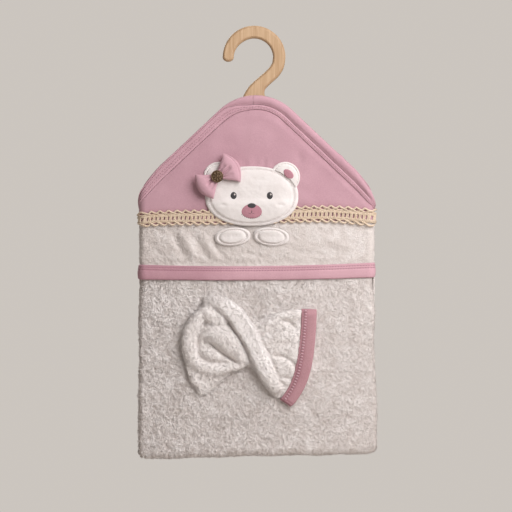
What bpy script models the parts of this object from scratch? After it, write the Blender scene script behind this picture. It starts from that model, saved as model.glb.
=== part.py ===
"""A hooded baby towel folded flat on a wooden hanger, with a wash mitt tacked to its front.

Metres, +Z up, +X to the wearer's left, front towards -Y. The origin is the crown of the hook's inner
edge, where the hook sits on its peg. The square towel hangs by its hooded corner: its side corners are
turned in behind, and its lower half is turned up behind them. Each cloth piece is cut and thickened
flat, as points (x, drop, lift), and then folded with the towel. Drop is the distance down the front,
round the bottom fold and up the back, and lift is the height over the towel's own outer face.
"""

from math import cos, pi, radians, sin, sqrt, tan

import bmesh
import bpy
from mathutils import Vector

MM = 0.001
GAP = 0.0003

# The folded towel
HALF_WIDTH = 0.174
CENTRE_X = 0.004
BOTTOM_DROP = 0.617
APEX_X = 0.0025
APEX_DROP = 0.0847
APEX_RADIUS = 0.0800
SLOPE = radians(42.7)
SLOPE_START = APEX_DROP - APEX_RADIUS * (1 / cos(SLOPE) - 1)
CORNER_START = 0.160
CORNER_CURVE = 60.0
HALF_DEPTH_TOP = 0.015
HALF_DEPTH_BOTTOM = 0.011
TERRY = 0.003
SIDE_RADIUS = 0.007
SIDE_TURN = radians(95)
SIDE_WRAP = SIDE_RADIUS * SIDE_TURN
FLAT_HALF = HALF_WIDTH - SIDE_RADIUS
HOOD_ALLOWANCE = 0.0033
RIPPLE = 0.0008
FRONT_LENGTH = BOTTOM_DROP - HALF_DEPTH_BOTTOM
WHOLE_LENGTH = 2 * FRONT_LENGTH + pi * HALF_DEPTH_BOTTOM

# The bound and stitched edges of the hood, measured in from the outline on the left and on the right
ROLL_LEFT, ROLL_RIGHT = 0.0030, 0.0140
RIDGE_LEFT, RIDGE_RIGHT = 0.0172, 0.0218
INSET_CHANGE = (-0.055, -0.004)
BACK_BINDING = 0.012
BINDING_LIFT = 0.0046
BACK_BINDING_LIFT = 0.0016
JOIN_X = -0.002

# The hood's cross lines: drops at the left, in the middle and at the right
LACE_TOP = (0.2600, 0.2560, 0.2510)
LACE_BOTTOM = (0.2785, 0.2760, 0.2740)
HOOD_SEAM = (0.2755, 0.2730, 0.2705)
BAND_TOP = (0.3340, 0.3360, 0.3310)
BAND_BOTTOM = (0.3560, 0.3570, 0.3530)
HOOD_CLOTH = 0.003
LACE_THICK = 0.0015
LACE_WAVES = 31
LACE_SCALLOP = 0.0016
BAND_THICK = 0.0038

# The hanger
HANGER_THICK = 0.012
HOOK_WIDTH = 0.0185
HOOK_RADIUS = 0.0371
EYE_RADIUS = HOOK_RADIUS - HOOK_WIDTH / 2
TIP_ANGLE = radians(180)
TIP_WIDTH = 0.0164
ARM_REACH = 0.120
ARM_TIP_DROP = 0.202
ARM_HEIGHT = 0.024
CROTCH_DROP = 0.1415
POCKET_CLEARANCE = 0.0005

# The bear, its bow and its button, sewn on the hood
BEAR_X = -0.0035
HEAD_DROP = 0.2335
HEAD_HALF = (0.0700, 0.0440)
HEAD_THICK = 0.0064
HEAD_ROUNDNESS = 2.2
EAR_ASIDE, EAR_DROP, EAR_RADIUS, EAR_THICK = 0.0500, 0.2055, 0.0225, 0.0042
PAW_ASIDE, PAW_DROP, PAW_THICK = 0.0290, 0.2930, 0.0055
PAW_HALF = (0.0270, 0.0135)
EYE_ASIDE, EYE_DROP = 0.0270, 0.2330
MUZZLE_DROP = 0.2540
MUZZLE_HALF = (0.0185, 0.0125)
BOW_PLACE = (-0.0550, 0.2050)
BOW_LEFT_TURN, BOW_RIGHT_TURN = radians(142), radians(-33)
BOW_FAN = 0.24
BUTTON_RADIUS = 0.0090
BUTTON_BASE = 0.0134

# The wash mitt, tacked to the front with a twist at its waist
STRAND_RADIUS = 0.0110
CUFF_THICK = 0.0085


# ------------------------------------------------------------------ materials

def material(name, colour, roughness, metallic=0.0):
    made = bpy.data.materials.new(name)
    made.use_nodes = True
    shader = made.node_tree.nodes["Principled BSDF"]
    shader.inputs["Base Color"].default_value = (*colour, 1)
    shader.inputs["Roughness"].default_value = roughness
    shader.inputs["Metallic"].default_value = metallic
    return made


def clear_scene():
    for old in list(bpy.context.scene.objects):
        bpy.data.objects.remove(old, do_unlink=True)


# ------------------------------------------------------------------ the fold

def ease(value, start, end):
    """0 before start, 1 after end, smooth between."""
    share = min(max((value - start) / (end - start), 0), 1)
    return share * share * (3 - 2 * share)


def through(ends, x):
    """A gentle curve through three values: at the left side, in the middle and at the right side."""
    left, middle, right = ends
    place = (x - CENTRE_X) / HALF_WIDTH
    return middle + place * (right - left) / 2 + place * place * ((left + right) / 2 - middle)


def outline_drop(x, inset, spare=0.0):
    """The drop of the towel's sloping edge at x, moved in by inset: round top, slope, round corner.

    Spare moves it further in, square to the line even where the corner is steep.
    """
    aside = abs(x - APEX_X)
    radius = APEX_RADIUS - inset - spare
    if aside < radius * sin(SLOPE):
        return APEX_DROP + APEX_RADIUS - sqrt(radius * radius - aside * aside)
    corner = max(abs(x - CENTRE_X) - CORNER_START, 0)
    steepness = tan(SLOPE) + 2 * CORNER_CURVE * corner
    straight = SLOPE_START + inset / cos(SLOPE) + aside * tan(SLOPE)
    return straight + CORNER_CURVE * corner * corner + spare * sqrt(1 + steepness * steepness)


def edge_line(x, inset, spare, above):
    """A line sewn along the sloping edge. Round the towel's sides it stays this far above the lace."""
    return min(outline_drop(x, inset, spare), through(LACE_TOP, x) - LACE_SCALLOP - above + spare)


def roll_line(x, spare=0.0):
    """The inner edge of the outer roll, narrow on the left and wide on the right."""
    inset = ROLL_LEFT + (ROLL_RIGHT - ROLL_LEFT) * ease(x, *INSET_CHANGE)
    return edge_line(x, inset, spare, 0.0045)


def ridge_line(x, spare=0.0):
    """The inner edge of the stitched band beside the roll."""
    inset = RIDGE_LEFT + (RIDGE_RIGHT - RIDGE_LEFT) * ease(x, *INSET_CHANGE)
    return edge_line(x, inset, spare, 0.0006)


def ripple(x, drop):
    """The soft swell of the cloth."""
    return RIPPLE * sin(2 * pi * (x / 0.24 + drop / 0.31)) * cos(2 * pi * (drop / 0.27 - x / 0.5))


def fold(point):
    """Where a point (x, drop, lift) of the flat cloth lies once the towel is folded."""
    x, drop, lift = point
    back = drop > WHOLE_LENGTH / 2
    if drop <= FRONT_LENGTH or drop >= WHOLE_LENGTH - FRONT_LENGTH:
        down = WHOLE_LENGTH - drop if back else drop
        share = down / FRONT_LENGTH
        depth = HALF_DEPTH_TOP + (HALF_DEPTH_BOTTOM - HALF_DEPTH_TOP) * share
        outward = Vector((0, 1 if back else -1, 0))
        base = Vector((0, 0, -down)) + outward * depth
    else:
        turn = (drop - FRONT_LENGTH) / HALF_DEPTH_BOTTOM
        outward = Vector((0, -cos(turn), -sin(turn)))
        base = Vector((0, 0, -FRONT_LENGTH)) + outward * HALF_DEPTH_BOTTOM
    lift = lift + (0 if back else ripple(x, drop) * (1 - ease(drop, 0.50, FRONT_LENGTH)))
    allowance = 0 if back else HOOD_ALLOWANCE * (1 - ease(drop, 0.358, 0.41))
    aside = x - CENTRE_X
    side = -1 if aside < 0 else 1
    beyond = abs(aside) - FLAT_HALF
    if beyond <= 0:
        return base + outward * lift + Vector((CENTRE_X + aside * (1 - allowance / FLAT_HALF), 0, 0))
    turn = beyond / SIDE_RADIUS
    reach = SIDE_RADIUS + lift
    across = CENTRE_X + side * (FLAT_HALF - allowance + reach * sin(turn))
    return base + outward * (reach * cos(turn) - SIDE_RADIUS) + Vector((across, 0, 0))


# ------------------------------------------------------------------ mesh tools

def finish(name, mesh, finish_material, folded=True, smooth=40):
    """Folds the mesh, closes its normals outwards and makes it an object."""
    if folded:
        for vert in mesh.verts:
            vert.co = fold(vert.co)
    bmesh.ops.remove_doubles(mesh, verts=mesh.verts, dist=1e-6)
    bmesh.ops.recalc_face_normals(mesh, faces=mesh.faces)
    data = bpy.data.meshes.new(name)
    mesh.to_mesh(data)
    mesh.free()
    data.shade_smooth()
    data.set_sharp_from_angle(angle=radians(smooth))
    data.materials.append(finish_material)
    made = bpy.data.objects.new(name, data)
    bpy.context.scene.collection.objects.link(made)
    return made


def column_places(first=-1.0, last=1.0, middle=16):
    """Places across the cloth, closer together where it turns round its sides."""
    wraps = [FLAT_HALF + SIDE_WRAP * step / 7 for step in range(1, 8)]
    flats = [FLAT_HALF * (2 * step / middle - 1) for step in range(middle + 1)]
    places = [-wrap for wrap in reversed(wraps)] + flats + wraps
    kept = [CENTRE_X + place for place in places]
    low = CENTRE_X + first * (FLAT_HALF + SIDE_WRAP)
    high = CENTRE_X + last * (FLAT_HALF + SIDE_WRAP)
    inside = [place for place in kept if low + 0.002 < place < high - 0.002]
    return [low, *inside, high]


def cloth(name, finish_material, places, rows, top, bottom, under, over):
    """A panel between two drops, from its underside lift to its outer lift, each a function."""
    mesh = bmesh.new()
    columns = len(places) - 1
    bmesh.ops.create_grid(mesh, x_segments=columns, y_segments=rows, size=0.5)
    raised = bmesh.ops.extrude_face_region(mesh, geom=mesh.faces[:])["geom"]
    upper = [vert for vert in raised if isinstance(vert, bmesh.types.BMVert)]
    for vert in mesh.verts:
        column = round((vert.co.x + 0.5) * columns)
        share = vert.co.y + 0.5
        x = places[column]
        drop = top(x) + (bottom(x) - top(x)) * share
        vert.co = (x, drop, under(x, share))
    for vert in upper:
        x = vert.co.x
        share = (vert.co.y - top(x)) / (bottom(x) - top(x))
        vert.co.z = over(x, share)
    return finish(name, mesh, finish_material)


def loft(mesh, rings):
    """A closed skin through rings of points, with its two ends filled."""
    skin = [[mesh.verts.new(point) for point in ring] for ring in rings]
    for ring, following in zip(skin, skin[1:]):
        count = len(ring)
        for index in range(count):
            corner = (index + 1) % count
            mesh.faces.new((ring[index], ring[corner], following[corner], following[index]))
    mesh.faces.new(skin[0])
    mesh.faces.new(list(reversed(skin[-1])))
    return mesh


def constant(value):
    return lambda *place: value


# ------------------------------------------------------------------ hanger

def hook_path():
    """Centre line of the hook from its tip over the crown and down the neck, as (x, z, width)."""
    centre_z = -EYE_RADIUS
    steps = 22
    path = []
    for step in range(steps + 1):
        angle = TIP_ANGLE * (1 - step / steps)
        width = TIP_WIDTH + (HOOK_WIDTH - TIP_WIDTH) * ease(step, 0, 8)
        radius = HOOK_RADIUS + (HOOK_WIDTH - width) / 2
        path.append((radius * cos(angle), centre_z + radius * sin(angle), width))
    neck = (  # x, z and width in millimetres
        (35.2, -39.7, 18.7),
        (29.6, -49.2, 18.8),
        (22.4, -56.4, 18.3),
        (14.9, -63.0, 18.6),
        (8.6, -69.2, 20.0),
        (4.4, -75.6, 24.5),
        (2.0, -82.0, 30.0),
        (1.0, -89.0, 36.0),
        (0.6, -97.0, 41.0),
    )
    return path + [(x * MM, z * MM, width * MM) for x, z, width in neck]


def hanger_outline(spare=0.0):
    """The hanger's outline seen from the front, made larger by spare."""
    path = hook_path()
    outer, inner = [], []
    for index, (x, z, width) in enumerate(path):
        before, after = path[max(index - 1, 0)], path[min(index + 1, len(path) - 1)]
        run = Vector((after[0] - before[0], after[1] - before[1])).normalized()
        aside = Vector((-run.y, run.x)) * (width / 2 + spare)
        outer.append((x + aside.x, z + aside.y))
        inner.append((x - aside.x, z - aside.y))
    tip_x, tip_z, tip_width = path[0]
    cap = []
    for step in range(1, 6):
        angle = pi - pi * step / 6
        radius = tip_width / 2 + spare
        spread = Vector((radius * cos(angle), -radius * 0.8 * sin(angle)))
        turned = Vector((spread.x * cos(TIP_ANGLE - pi) - spread.y * sin(TIP_ANGLE - pi),
                         spread.x * sin(TIP_ANGLE - pi) + spread.y * cos(TIP_ANGLE - pi)))
        cap.append((tip_x - turned.x, tip_z + turned.y))
    arms = []
    tip_radius = ARM_HEIGHT / 2
    tip_centre_x, tip_centre_z = ARM_REACH - tip_radius, -ARM_TIP_DROP + tip_radius
    for step in range(7):
        angle = radians(50) - pi * step / 6
        arms.append((tip_centre_x + (tip_radius + spare) * cos(angle),
                     tip_centre_z + (tip_radius + spare) * sin(angle)))
    crotch = (0.0, -CROTCH_DROP - spare)
    left_arm = [(-x, z) for x, z in reversed(arms)]
    return outer + arms + [crotch] + left_arm + list(reversed(inner)) + cap


def hanger_solid(name, finish_material, half_thick, spare=0.0, edge=0.0):
    mesh = bmesh.new()
    outline = [mesh.verts.new((x, -half_thick, z)) for x, z in hanger_outline(spare)]
    face = mesh.faces.new(outline)
    grown = bmesh.ops.extrude_face_region(mesh, geom=[face])["geom"]
    moved = [vert for vert in grown if isinstance(vert, bmesh.types.BMVert)]
    bmesh.ops.translate(mesh, verts=moved, vec=(0, 2 * half_thick, 0))
    bmesh.ops.recalc_face_normals(mesh, faces=mesh.faces)
    if edge:
        rims = [line for line in mesh.edges if abs(line.verts[0].co.y - line.verts[1].co.y) < 1e-7]
        bmesh.ops.bevel(mesh, geom=rims, offset=edge, segments=2, profile=0.5, affect="EDGES",
                        material=-1, clamp_overlap=True)
    return finish(name, mesh, finish_material, folded=False, smooth=35)


# ------------------------------------------------------------------ towel

def towel_drop(x, share):
    """The drop of row number share of the towel's cloth: front, bottom fold, back."""
    front_top = roll_line(x, 2 * GAP)
    back_top = WHOLE_LENGTH - outline_drop(x, BACK_BINDING, 4 * GAP)
    turn = pi * HALF_DEPTH_BOTTOM
    if share <= 0.4:
        return front_top + (FRONT_LENGTH - front_top) * share / 0.4
    if share <= 0.6:
        return FRONT_LENGTH + turn * (share - 0.4) / 0.2
    return FRONT_LENGTH + turn + (back_top - FRONT_LENGTH - turn) * (share - 0.6) / 0.4


def make_towel(terry):
    """The outer layer of terry: down the front, round the bottom fold and up the back."""
    rows = 30
    places = column_places()
    mesh = bmesh.new()
    columns = len(places) - 1
    bmesh.ops.create_grid(mesh, x_segments=columns, y_segments=rows, size=0.5)
    for vert in mesh.verts:
        x = places[round((vert.co.x + 0.5) * columns)]
        vert.co = (x, towel_drop(x, round((vert.co.y + 0.5) * rows) / rows), -TERRY)
    raised = bmesh.ops.extrude_face_region(mesh, geom=mesh.faces[:])["geom"]
    for vert in raised:
        if isinstance(vert, bmesh.types.BMVert):
            vert.co.z = 0
    return finish("towel_cloth", mesh, terry)


def layers_section(half_width, half_depth):
    """A level section of the hidden layers, with their edges as lips at the sides."""
    inner = SIDE_RADIUS - TERRY - 2 * GAP
    lips = ((-3.5, 7.0), (-1.7, 5.8), (-1.2, 3.9), (-2.2, 1.8), (-4.0, 0.5))  # x from side, y: mm
    quarter = [(half_width - SIDE_RADIUS + inner * sin(radians(angle)),
                half_depth - inner + inner * cos(radians(angle))) for angle in (0, 30, 60, 90)]
    scale = half_depth / (HALF_DEPTH_TOP - TERRY)
    quarter += [(half_width + x * MM, y * MM * min(scale, 1)) for x, y in lips]
    half = quarter + [(x, -y) for x, y in reversed(quarter)]
    return half + [(-x, y) for x, y in reversed(half)]


def make_layers(terry):
    """The side corners and other layers hidden inside, as one rounded solid with layered edges."""
    top = outline_drop(CENTRE_X, 0.006)
    fold_drop = FRONT_LENGTH
    inner_fold = HALF_DEPTH_BOTTOM - TERRY - 2 * GAP - RIPPLE
    drops = [top + 0.0004, top + 0.004, top + 0.012, 0.112, 0.130, 0.150, 0.175, 0.200, 0.214, 0.225]
    drops += [0.236, 0.25, 0.27, 0.32, 0.38, 0.44, 0.50, 0.55, 0.585, 0.600, fold_drop]
    drops += [fold_drop + inner_fold * share for share in (0.45, 0.8, 0.98)]
    rings = []
    for drop in drops:
        share = min(drop / FRONT_LENGTH, 1)
        depth = HALF_DEPTH_TOP + (HALF_DEPTH_BOTTOM - HALF_DEPTH_TOP) * share
        depth -= TERRY + 2 * GAP + RIPPLE
        below = max(drop - fold_drop, 0)
        depth = min(depth, sqrt(max(inner_fold ** 2 - below ** 2, 1e-9)) if below else depth)
        half = HALF_WIDTH - GAP - HOOD_ALLOWANCE * (1 - ease(drop, 0.40, 0.47))
        half -= 0.009 * ease(drop, 0.575, 0.604)
        half = min(half, slope_reach(drop, 0.006))
        rings.append([(CENTRE_X + x, y, -drop) for x, y in layers_section(half, depth)])
    return finish("hidden_layers", loft(bmesh.new(), rings), terry, folded=False)


def slope_reach(drop, inset):
    """How far the towel's sloping edge, moved in by inset, lies from the middle at this drop."""
    near, far = 0.0, FLAT_HALF + SIDE_WRAP
    for _ in range(20):
        middle = (near + far) / 2
        if outline_drop(CENTRE_X + middle, inset) < drop:
            near = middle
        else:
            far = middle
    bend = max(near - FLAT_HALF, 0) / SIDE_RADIUS
    flat = min(near, FLAT_HALF) * (1 - HOOD_ALLOWANCE / FLAT_HALF)
    round_top = SIDE_RADIUS * (1 - ease(near, 0.03, 0.06))
    return flat + SIDE_RADIUS * sin(min(bend, pi / 2)) + round_top


# ------------------------------------------------------------------ hood

def rolled(high, edge):
    """An outer face that is round across the strip, from its edge lift up to high."""
    return lambda x, share: edge + (high - edge) * sqrt(max(1 - (2 * share - 1) ** 2, 0))


def make_bindings(cotton):
    join = (JOIN_X - CENTRE_X) / (FLAT_HALF + SIDE_WRAP)
    front = {"edge_binding_left": column_places(last=join - GAP),
             "edge_binding_right": column_places(first=join + GAP)}
    for name, places in front.items():
        cloth(name, cotton, places, 4,
              lambda x: outline_drop(x, 0),
              roll_line,
              constant(-TERRY - GAP),
              rolled(BINDING_LIFT, 0.0010))
    cloth("hood_edge_band", cotton, column_places(), 4,
          lambda x: roll_line(x, GAP),
          ridge_line,
          constant(2 * GAP),
          rolled(BINDING_LIFT - GAP, HOOD_CLOTH))
    back = {"back_binding_left": column_places(last=-GAP),
            "back_binding_right": column_places(first=GAP)}
    for name, places in back.items():
        cloth(name, cotton, places, 3,
              lambda x: WHOLE_LENGTH - outline_drop(x, BACK_BINDING),
              lambda x: WHOLE_LENGTH - outline_drop(x, 0),
              constant(-TERRY - GAP),
              rolled(BACK_BINDING_LIFT, GAP))


def scallop(x):
    return LACE_SCALLOP * sin(pi * LACE_WAVES * (x - CENTRE_X) / (2 * FLAT_HALF)) ** 2


def make_hood(cotton, terry, lace):
    cloth("hood_top_panel", cotton, column_places(), 7,
          lambda x: ridge_line(x, GAP),
          lambda x: through(HOOD_SEAM, x) - GAP / 2,
          constant(2 * GAP), constant(2 * GAP + HOOD_CLOTH))
    cloth("hood_terry_strip", terry, column_places(), 4,
          lambda x: through(HOOD_SEAM, x) + GAP / 2,
          lambda x: through(BAND_TOP, x) - GAP,
          constant(2 * GAP), constant(2 * GAP + HOOD_CLOTH))
    cloth("hood_opening_band", cotton, column_places(), 4,
          lambda x: through(BAND_TOP, x),
          lambda x: through(BAND_BOTTOM, x),
          constant(GAP), rolled(BAND_THICK + 2 * GAP, 0.6 * BAND_THICK))
    cloth("lace_trim", lace, column_places(middle=2 * LACE_WAVES), 2,
          lambda x: through(LACE_TOP, x) - scallop(x),
          lambda x: through(LACE_BOTTOM, x) + scallop(x),
          constant(4 * GAP + HOOD_CLOTH), constant(4 * GAP + HOOD_CLOTH + LACE_THICK))


# ------------------------------------------------------------------ bear, sewn on the hood

def patch_base(drop):
    """The lift of whatever a sewn-on piece lies on: the hood's cloth, or the lace across it."""
    plain = 3 * GAP + HOOD_CLOTH
    over_lace = LACE_THICK + 2 * GAP
    return plain + over_lace * ease(drop, 0.235, 0.247) * (1 - ease(drop, 0.284, 0.294))


def patch(name, finish_material, centre, half_sizes, thick, base=0.0, roundness=2.0, turn=0.0, count=28):
    """A padded patch with a rounded rim, lying on the hood. base is added to what it lies on."""
    centre_x, centre_drop = centre
    half_x, half_drop = half_sizes
    profile = (  # share of the size, share of the thickness
        (0.55, 0.00), (0.93, 0.00), (1.00, 0.30), (0.96, 0.68), (0.82, 0.88), (0.50, 0.97), (0.20, 1.00),
    )
    rings = []
    for size, height in profile:
        ring = []
        for step in range(count):
            angle = 2 * pi * step / count
            along, across = cos(angle), sin(angle)
            stretch = (abs(along) ** roundness + abs(across) ** roundness) ** (-1 / roundness)
            x = half_x * size * stretch * along
            drop = half_drop * size * stretch * across
            place_x = centre_x + x * cos(turn) - drop * sin(turn)
            place_drop = centre_drop + x * sin(turn) + drop * cos(turn)
            ring.append((place_x, place_drop, patch_base(place_drop) + base + thick * height))
        rings.append(ring)
    return finish(name, loft(bmesh.new(), rings), finish_material)


def head_share(x, drop):
    """How far out on the head a place lies: 0 at its middle, 1 at its rim."""
    along = abs(x - BEAR_X) / HEAD_HALF[0]
    across = abs(drop - HEAD_DROP) / HEAD_HALF[1]
    return (along ** HEAD_ROUNDNESS + across ** HEAD_ROUNDNESS) ** (1 / HEAD_ROUNDNESS)


def make_bear(plush, cotton, thread):
    patch("bear_head", plush, (BEAR_X, HEAD_DROP), HEAD_HALF, HEAD_THICK,
          roundness=HEAD_ROUNDNESS, count=36)
    spared = (1.05 * HEAD_HALF[0], 1.05 * HEAD_HALF[1])
    cutter = patch("head_room", plush, (BEAR_X, HEAD_DROP), spared, 3 * HEAD_THICK,
                   base=-HEAD_THICK, roundness=HEAD_ROUNDNESS, count=36)
    cutter.hide_render = True
    cutter.display_type = "WIRE"
    on_head = HEAD_THICK + GAP
    for side, word in ((-1, "left"), (1, "right")):
        ear_x = BEAR_X + side * EAR_ASIDE
        ear = patch("bear_ear_" + word, plush, (ear_x, EAR_DROP), (EAR_RADIUS, EAR_RADIUS), EAR_THICK)
        room = ear.modifiers.new("head", "BOOLEAN")
        room.object = cutter
        patch("bear_paw_" + word, plush, (BEAR_X + side * PAW_ASIDE, PAW_DROP), PAW_HALF, PAW_THICK,
              turn=side * radians(5))
        patch("bear_eye_" + word, thread, (BEAR_X + side * EYE_ASIDE, EYE_DROP),
              (0.0046, 0.0056), 0.0012, base=on_head, count=12)
    patch("bear_inner_ear", cotton, (BEAR_X + EAR_ASIDE + 0.0050, EAR_DROP - 0.0045),
          (0.0085, 0.0052), 0.0010, base=EAR_THICK + GAP, turn=radians(40), count=12)
    patch("bear_muzzle", cotton, (BEAR_X, MUZZLE_DROP), MUZZLE_HALF, 0.0018, base=on_head, count=24)
    patch("bear_nose", thread, (BEAR_X, MUZZLE_DROP - 0.0065), (0.0060, 0.0034), 0.0012,
          base=on_head + 0.0018 + GAP, count=12)


def make_bow(cotton, brass):
    stations = (  # distance along the bow, half width and thickness in millimetres
        (-34.5, 20, 3.0), (-33, 22, 5.5), (-26, 19.5, 7.5), (-15, 13.5, 8.0), (-6, 8, 7.0), (0, 6.0, 6.5),
        (6, 8, 7.0), (15, 14, 8.5), (27, 20.5, 8.0), (34.5, 23.5, 6.0), (36.5, 21, 3.0),
    )
    count = 14
    rings = []
    for along, half_width, thick in stations:
        turn = BOW_LEFT_TURN - pi if along < 0 else BOW_RIGHT_TURN
        if along == 0:
            turn = (BOW_LEFT_TURN - pi + BOW_RIGHT_TURN) / 2
        ring = []
        for step in range(count):
            angle = 2 * pi * step / count
            across = half_width * MM * cos(angle)
            bulge = 1 - BOW_FAN * cos(angle) ** 2 * abs(along) / 36
            x = BOW_PLACE[0] + along * MM * bulge * cos(turn) - across * sin(turn)
            drop = BOW_PLACE[1] + along * MM * bulge * sin(turn) + across * cos(turn)
            rise = (HEAD_THICK - EAR_THICK) * (1 - ease(head_share(x, drop), 0.6, 1.0))
            lift = patch_base(drop) + EAR_THICK + rise + 3 * GAP + thick * MM * (0.5 - 0.5 * sin(angle))
            ring.append((x, drop, lift))
        rings.append(ring)
    finish("bow", loft(bmesh.new(), rings), cotton)
    patch("bow_button", brass, BOW_PLACE, (BUTTON_RADIUS, BUTTON_RADIUS), 0.0030,
          base=BUTTON_BASE, count=16)


# ------------------------------------------------------------------ wash mitt

def mitt_body():
    """The mitt lying flat, as rings from its closed end to the cuff, with pleats out of its waist."""
    stations = (  # millimetres: lower edge x and drop, upper edge x and drop, thickness, bulge, pleats
        (-106, 458, -106, 447, 4, 0, 0.0),
        (-98, 486, -98, 427, 9, -2, 0.5),
        (-88, 512, -86, 404, 12, -1, 1.0),
        (-78, 527, -71, 385, 14, 0, 1.5),
        (-59, 517, -56, 380, 15, 0, 2.0),
        (-41, 500, -37, 388, 15, 0, 2.5),
        (-22, 486, -16, 404, 15, 0, 2.5),
        (-3, 482, 1, 424, 16, 0, 2.0),
        (12, 506, 17, 412, 15, 0, 2.5),
        (24, 524, 36, 403, 13, 3, 2.5),
        (34, 531, 53, 400, 11, 7, 1.5),
        (38, 530, 66, 399, 8, 10, 0.8),
    )
    front, back = 17, 7
    rings = []
    for low_x, low_drop, high_x, high_drop, thick, bulge, pleat in stations:
        ring = []
        for step in range(front + back):
            outer = step <= front - 1
            place = 1 - 2 * step / (front - 1) if outer else -1 + 2 * (step - front + 1) / (back + 1)
            share = (1 + place) / 2
            x = low_x + (high_x - low_x) * share + bulge * (1 - place * place)
            drop = low_drop + (high_drop - low_drop) * share
            height = 0.4
            if outer:
                crown = max(1 - abs(place) ** 3, 0) ** 0.5
                height = 1.6 + (thick - 1.6) * crown + pleat * crown * cos(3.5 * pi * place)
            ring.append((x * MM, drop * MM, height * MM))
        rings.append(ring)
    return loft(bmesh.new(), rings)


def mitt_strand():
    """The rolled edge that crosses the waist from the upper left to the lower right."""
    path = (  # millimetres: x, drop, lift of the middle, share of the radius
        (-72, 386, 6, 0.45), (-60, 390, 9, 0.8), (-46, 401, 11, 0.95), (-26, 424, 13, 1.0),
        (-8, 449, 14, 1.0), (10, 478, 12, 0.95), (22, 501, 9, 0.85), (31, 516, 7, 0.6),
    )
    count = 12
    rings = []
    for index, (x, drop, lift, share) in enumerate(path):
        before, after = path[max(index - 1, 0)], path[min(index + 1, len(path) - 1)]
        run = Vector((after[0] - before[0], after[1] - before[1])).normalized()
        radius = STRAND_RADIUS * share
        ring = []
        for step in range(count):
            angle = 2 * pi * step / count
            aside = radius * cos(angle)
            height = lift * MM + 0.8 * radius * sin(angle)
            ring.append((x * MM - run.y * aside, drop * MM + run.x * aside, max(height, 0.001)))
        rings.append(ring)
    return loft(bmesh.new(), rings)


def mitt_cuff():
    """The binding round the mitt's mouth, from its upper to its lower end."""
    edges = (  # millimetres: left x and drop, right x and drop
        (69.5, 398, 93, 399), (68.5, 418, 92, 421), (67.0, 439, 90, 442), (65.0, 460, 88, 464),
        (62.5, 481, 84, 486), (57.0, 501, 77, 510), (50.5, 515, 68, 525), (44.5, 525, 60, 536),
        (39.5, 533, 54, 543),
    )
    section = (  # share across, share of the thickness
        (0.0, 0.08), (0.0, 0.80), (0.10, 0.97), (0.5, 1.0),
        (0.88, 0.97), (1.0, 0.70), (1.0, 0.15), (0.5, 0.04),
    )
    rings = []
    for left_x, left_drop, right_x, right_drop in edges:
        ring = []
        for across, height in section:
            x = left_x + (right_x - left_x) * across
            drop = left_drop + (right_drop - left_drop) * across
            ring.append((x * MM, drop * MM, GAP + CUFF_THICK * height))
        rings.append(ring)
    return loft(bmesh.new(), rings)


def make_mitt(terry, cotton):
    body = finish("wash_mitt", mitt_body(), terry, smooth=70)
    strand = finish("mitt_strand", mitt_strand(), terry)
    strand.hide_render = True
    strand.display_type = "WIRE"
    joined = body.modifiers.new("strand", "BOOLEAN")
    joined.operation = "UNION"
    joined.object = strand
    finish("mitt_cuff_binding", mitt_cuff(), cotton)


def main():
    clear_scene()
    terry = material("white_terry", (0.78, 0.71, 0.67), 0.95)
    cotton = material("pink_cotton", (0.52, 0.27, 0.31), 0.85)
    lace = material("cream_lace", (0.62, 0.44, 0.28), 0.8)
    wood = material("light_wood", (0.62, 0.38, 0.2), 0.5)
    plush = material("white_plush", (0.8, 0.72, 0.7), 0.9)
    thread = material("grey_thread", (0.06, 0.055, 0.06), 0.6)
    brass = material("aged_brass", (0.25, 0.16, 0.09), 0.5, 0.6)

    hanger_solid("hanger", wood, HANGER_THICK / 2, edge=0.0028)
    make_towel(terry)
    layers = make_layers(terry)
    cutter = hanger_solid("hanger_pocket", wood, HANGER_THICK / 2 + 0.0005, spare=POCKET_CLEARANCE)
    cutter.hide_render = True
    cutter.display_type = "WIRE"
    pocket = layers.modifiers.new("pocket", "BOOLEAN")
    pocket.object = cutter
    pocket.operation = "DIFFERENCE"
    make_bindings(cotton)
    make_hood(cotton, terry, lace)
    make_bear(plush, cotton, thread)
    make_bow(cotton, brass)
    make_mitt(terry, cotton)


main()
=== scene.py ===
"""The looks of a hooded baby towel, folded flat on a wooden hanger, with a wash mitt tacked to its front.

Cloth is laid out flat as (x, drop, lift) and then folded with the towel: drop is the distance down the
front, round the bottom fold and up the back, and lift is the height over the towel's outer face.
"""

from math import cos, pi, radians, sin, sqrt, tan

import bmesh
import bpy
import numpy as np
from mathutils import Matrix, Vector


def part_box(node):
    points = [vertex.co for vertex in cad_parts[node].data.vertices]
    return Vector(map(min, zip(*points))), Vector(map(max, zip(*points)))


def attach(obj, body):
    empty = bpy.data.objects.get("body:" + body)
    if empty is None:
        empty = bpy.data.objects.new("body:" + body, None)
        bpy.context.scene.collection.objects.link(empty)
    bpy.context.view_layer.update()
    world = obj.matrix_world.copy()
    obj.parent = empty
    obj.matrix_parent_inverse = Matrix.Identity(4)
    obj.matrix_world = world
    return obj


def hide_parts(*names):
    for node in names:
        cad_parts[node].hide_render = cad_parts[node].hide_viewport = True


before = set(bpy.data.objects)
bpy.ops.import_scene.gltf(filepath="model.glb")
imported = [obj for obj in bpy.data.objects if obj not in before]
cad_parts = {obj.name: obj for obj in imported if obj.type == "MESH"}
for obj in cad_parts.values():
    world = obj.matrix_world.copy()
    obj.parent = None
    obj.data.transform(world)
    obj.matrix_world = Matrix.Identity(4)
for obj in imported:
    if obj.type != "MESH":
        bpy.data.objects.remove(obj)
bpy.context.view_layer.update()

MM = 0.001

# ------------------------------------------------------------------ sizes, from the frame
# Three values in a row are at the left side, in the middle and at the right side.

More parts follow.
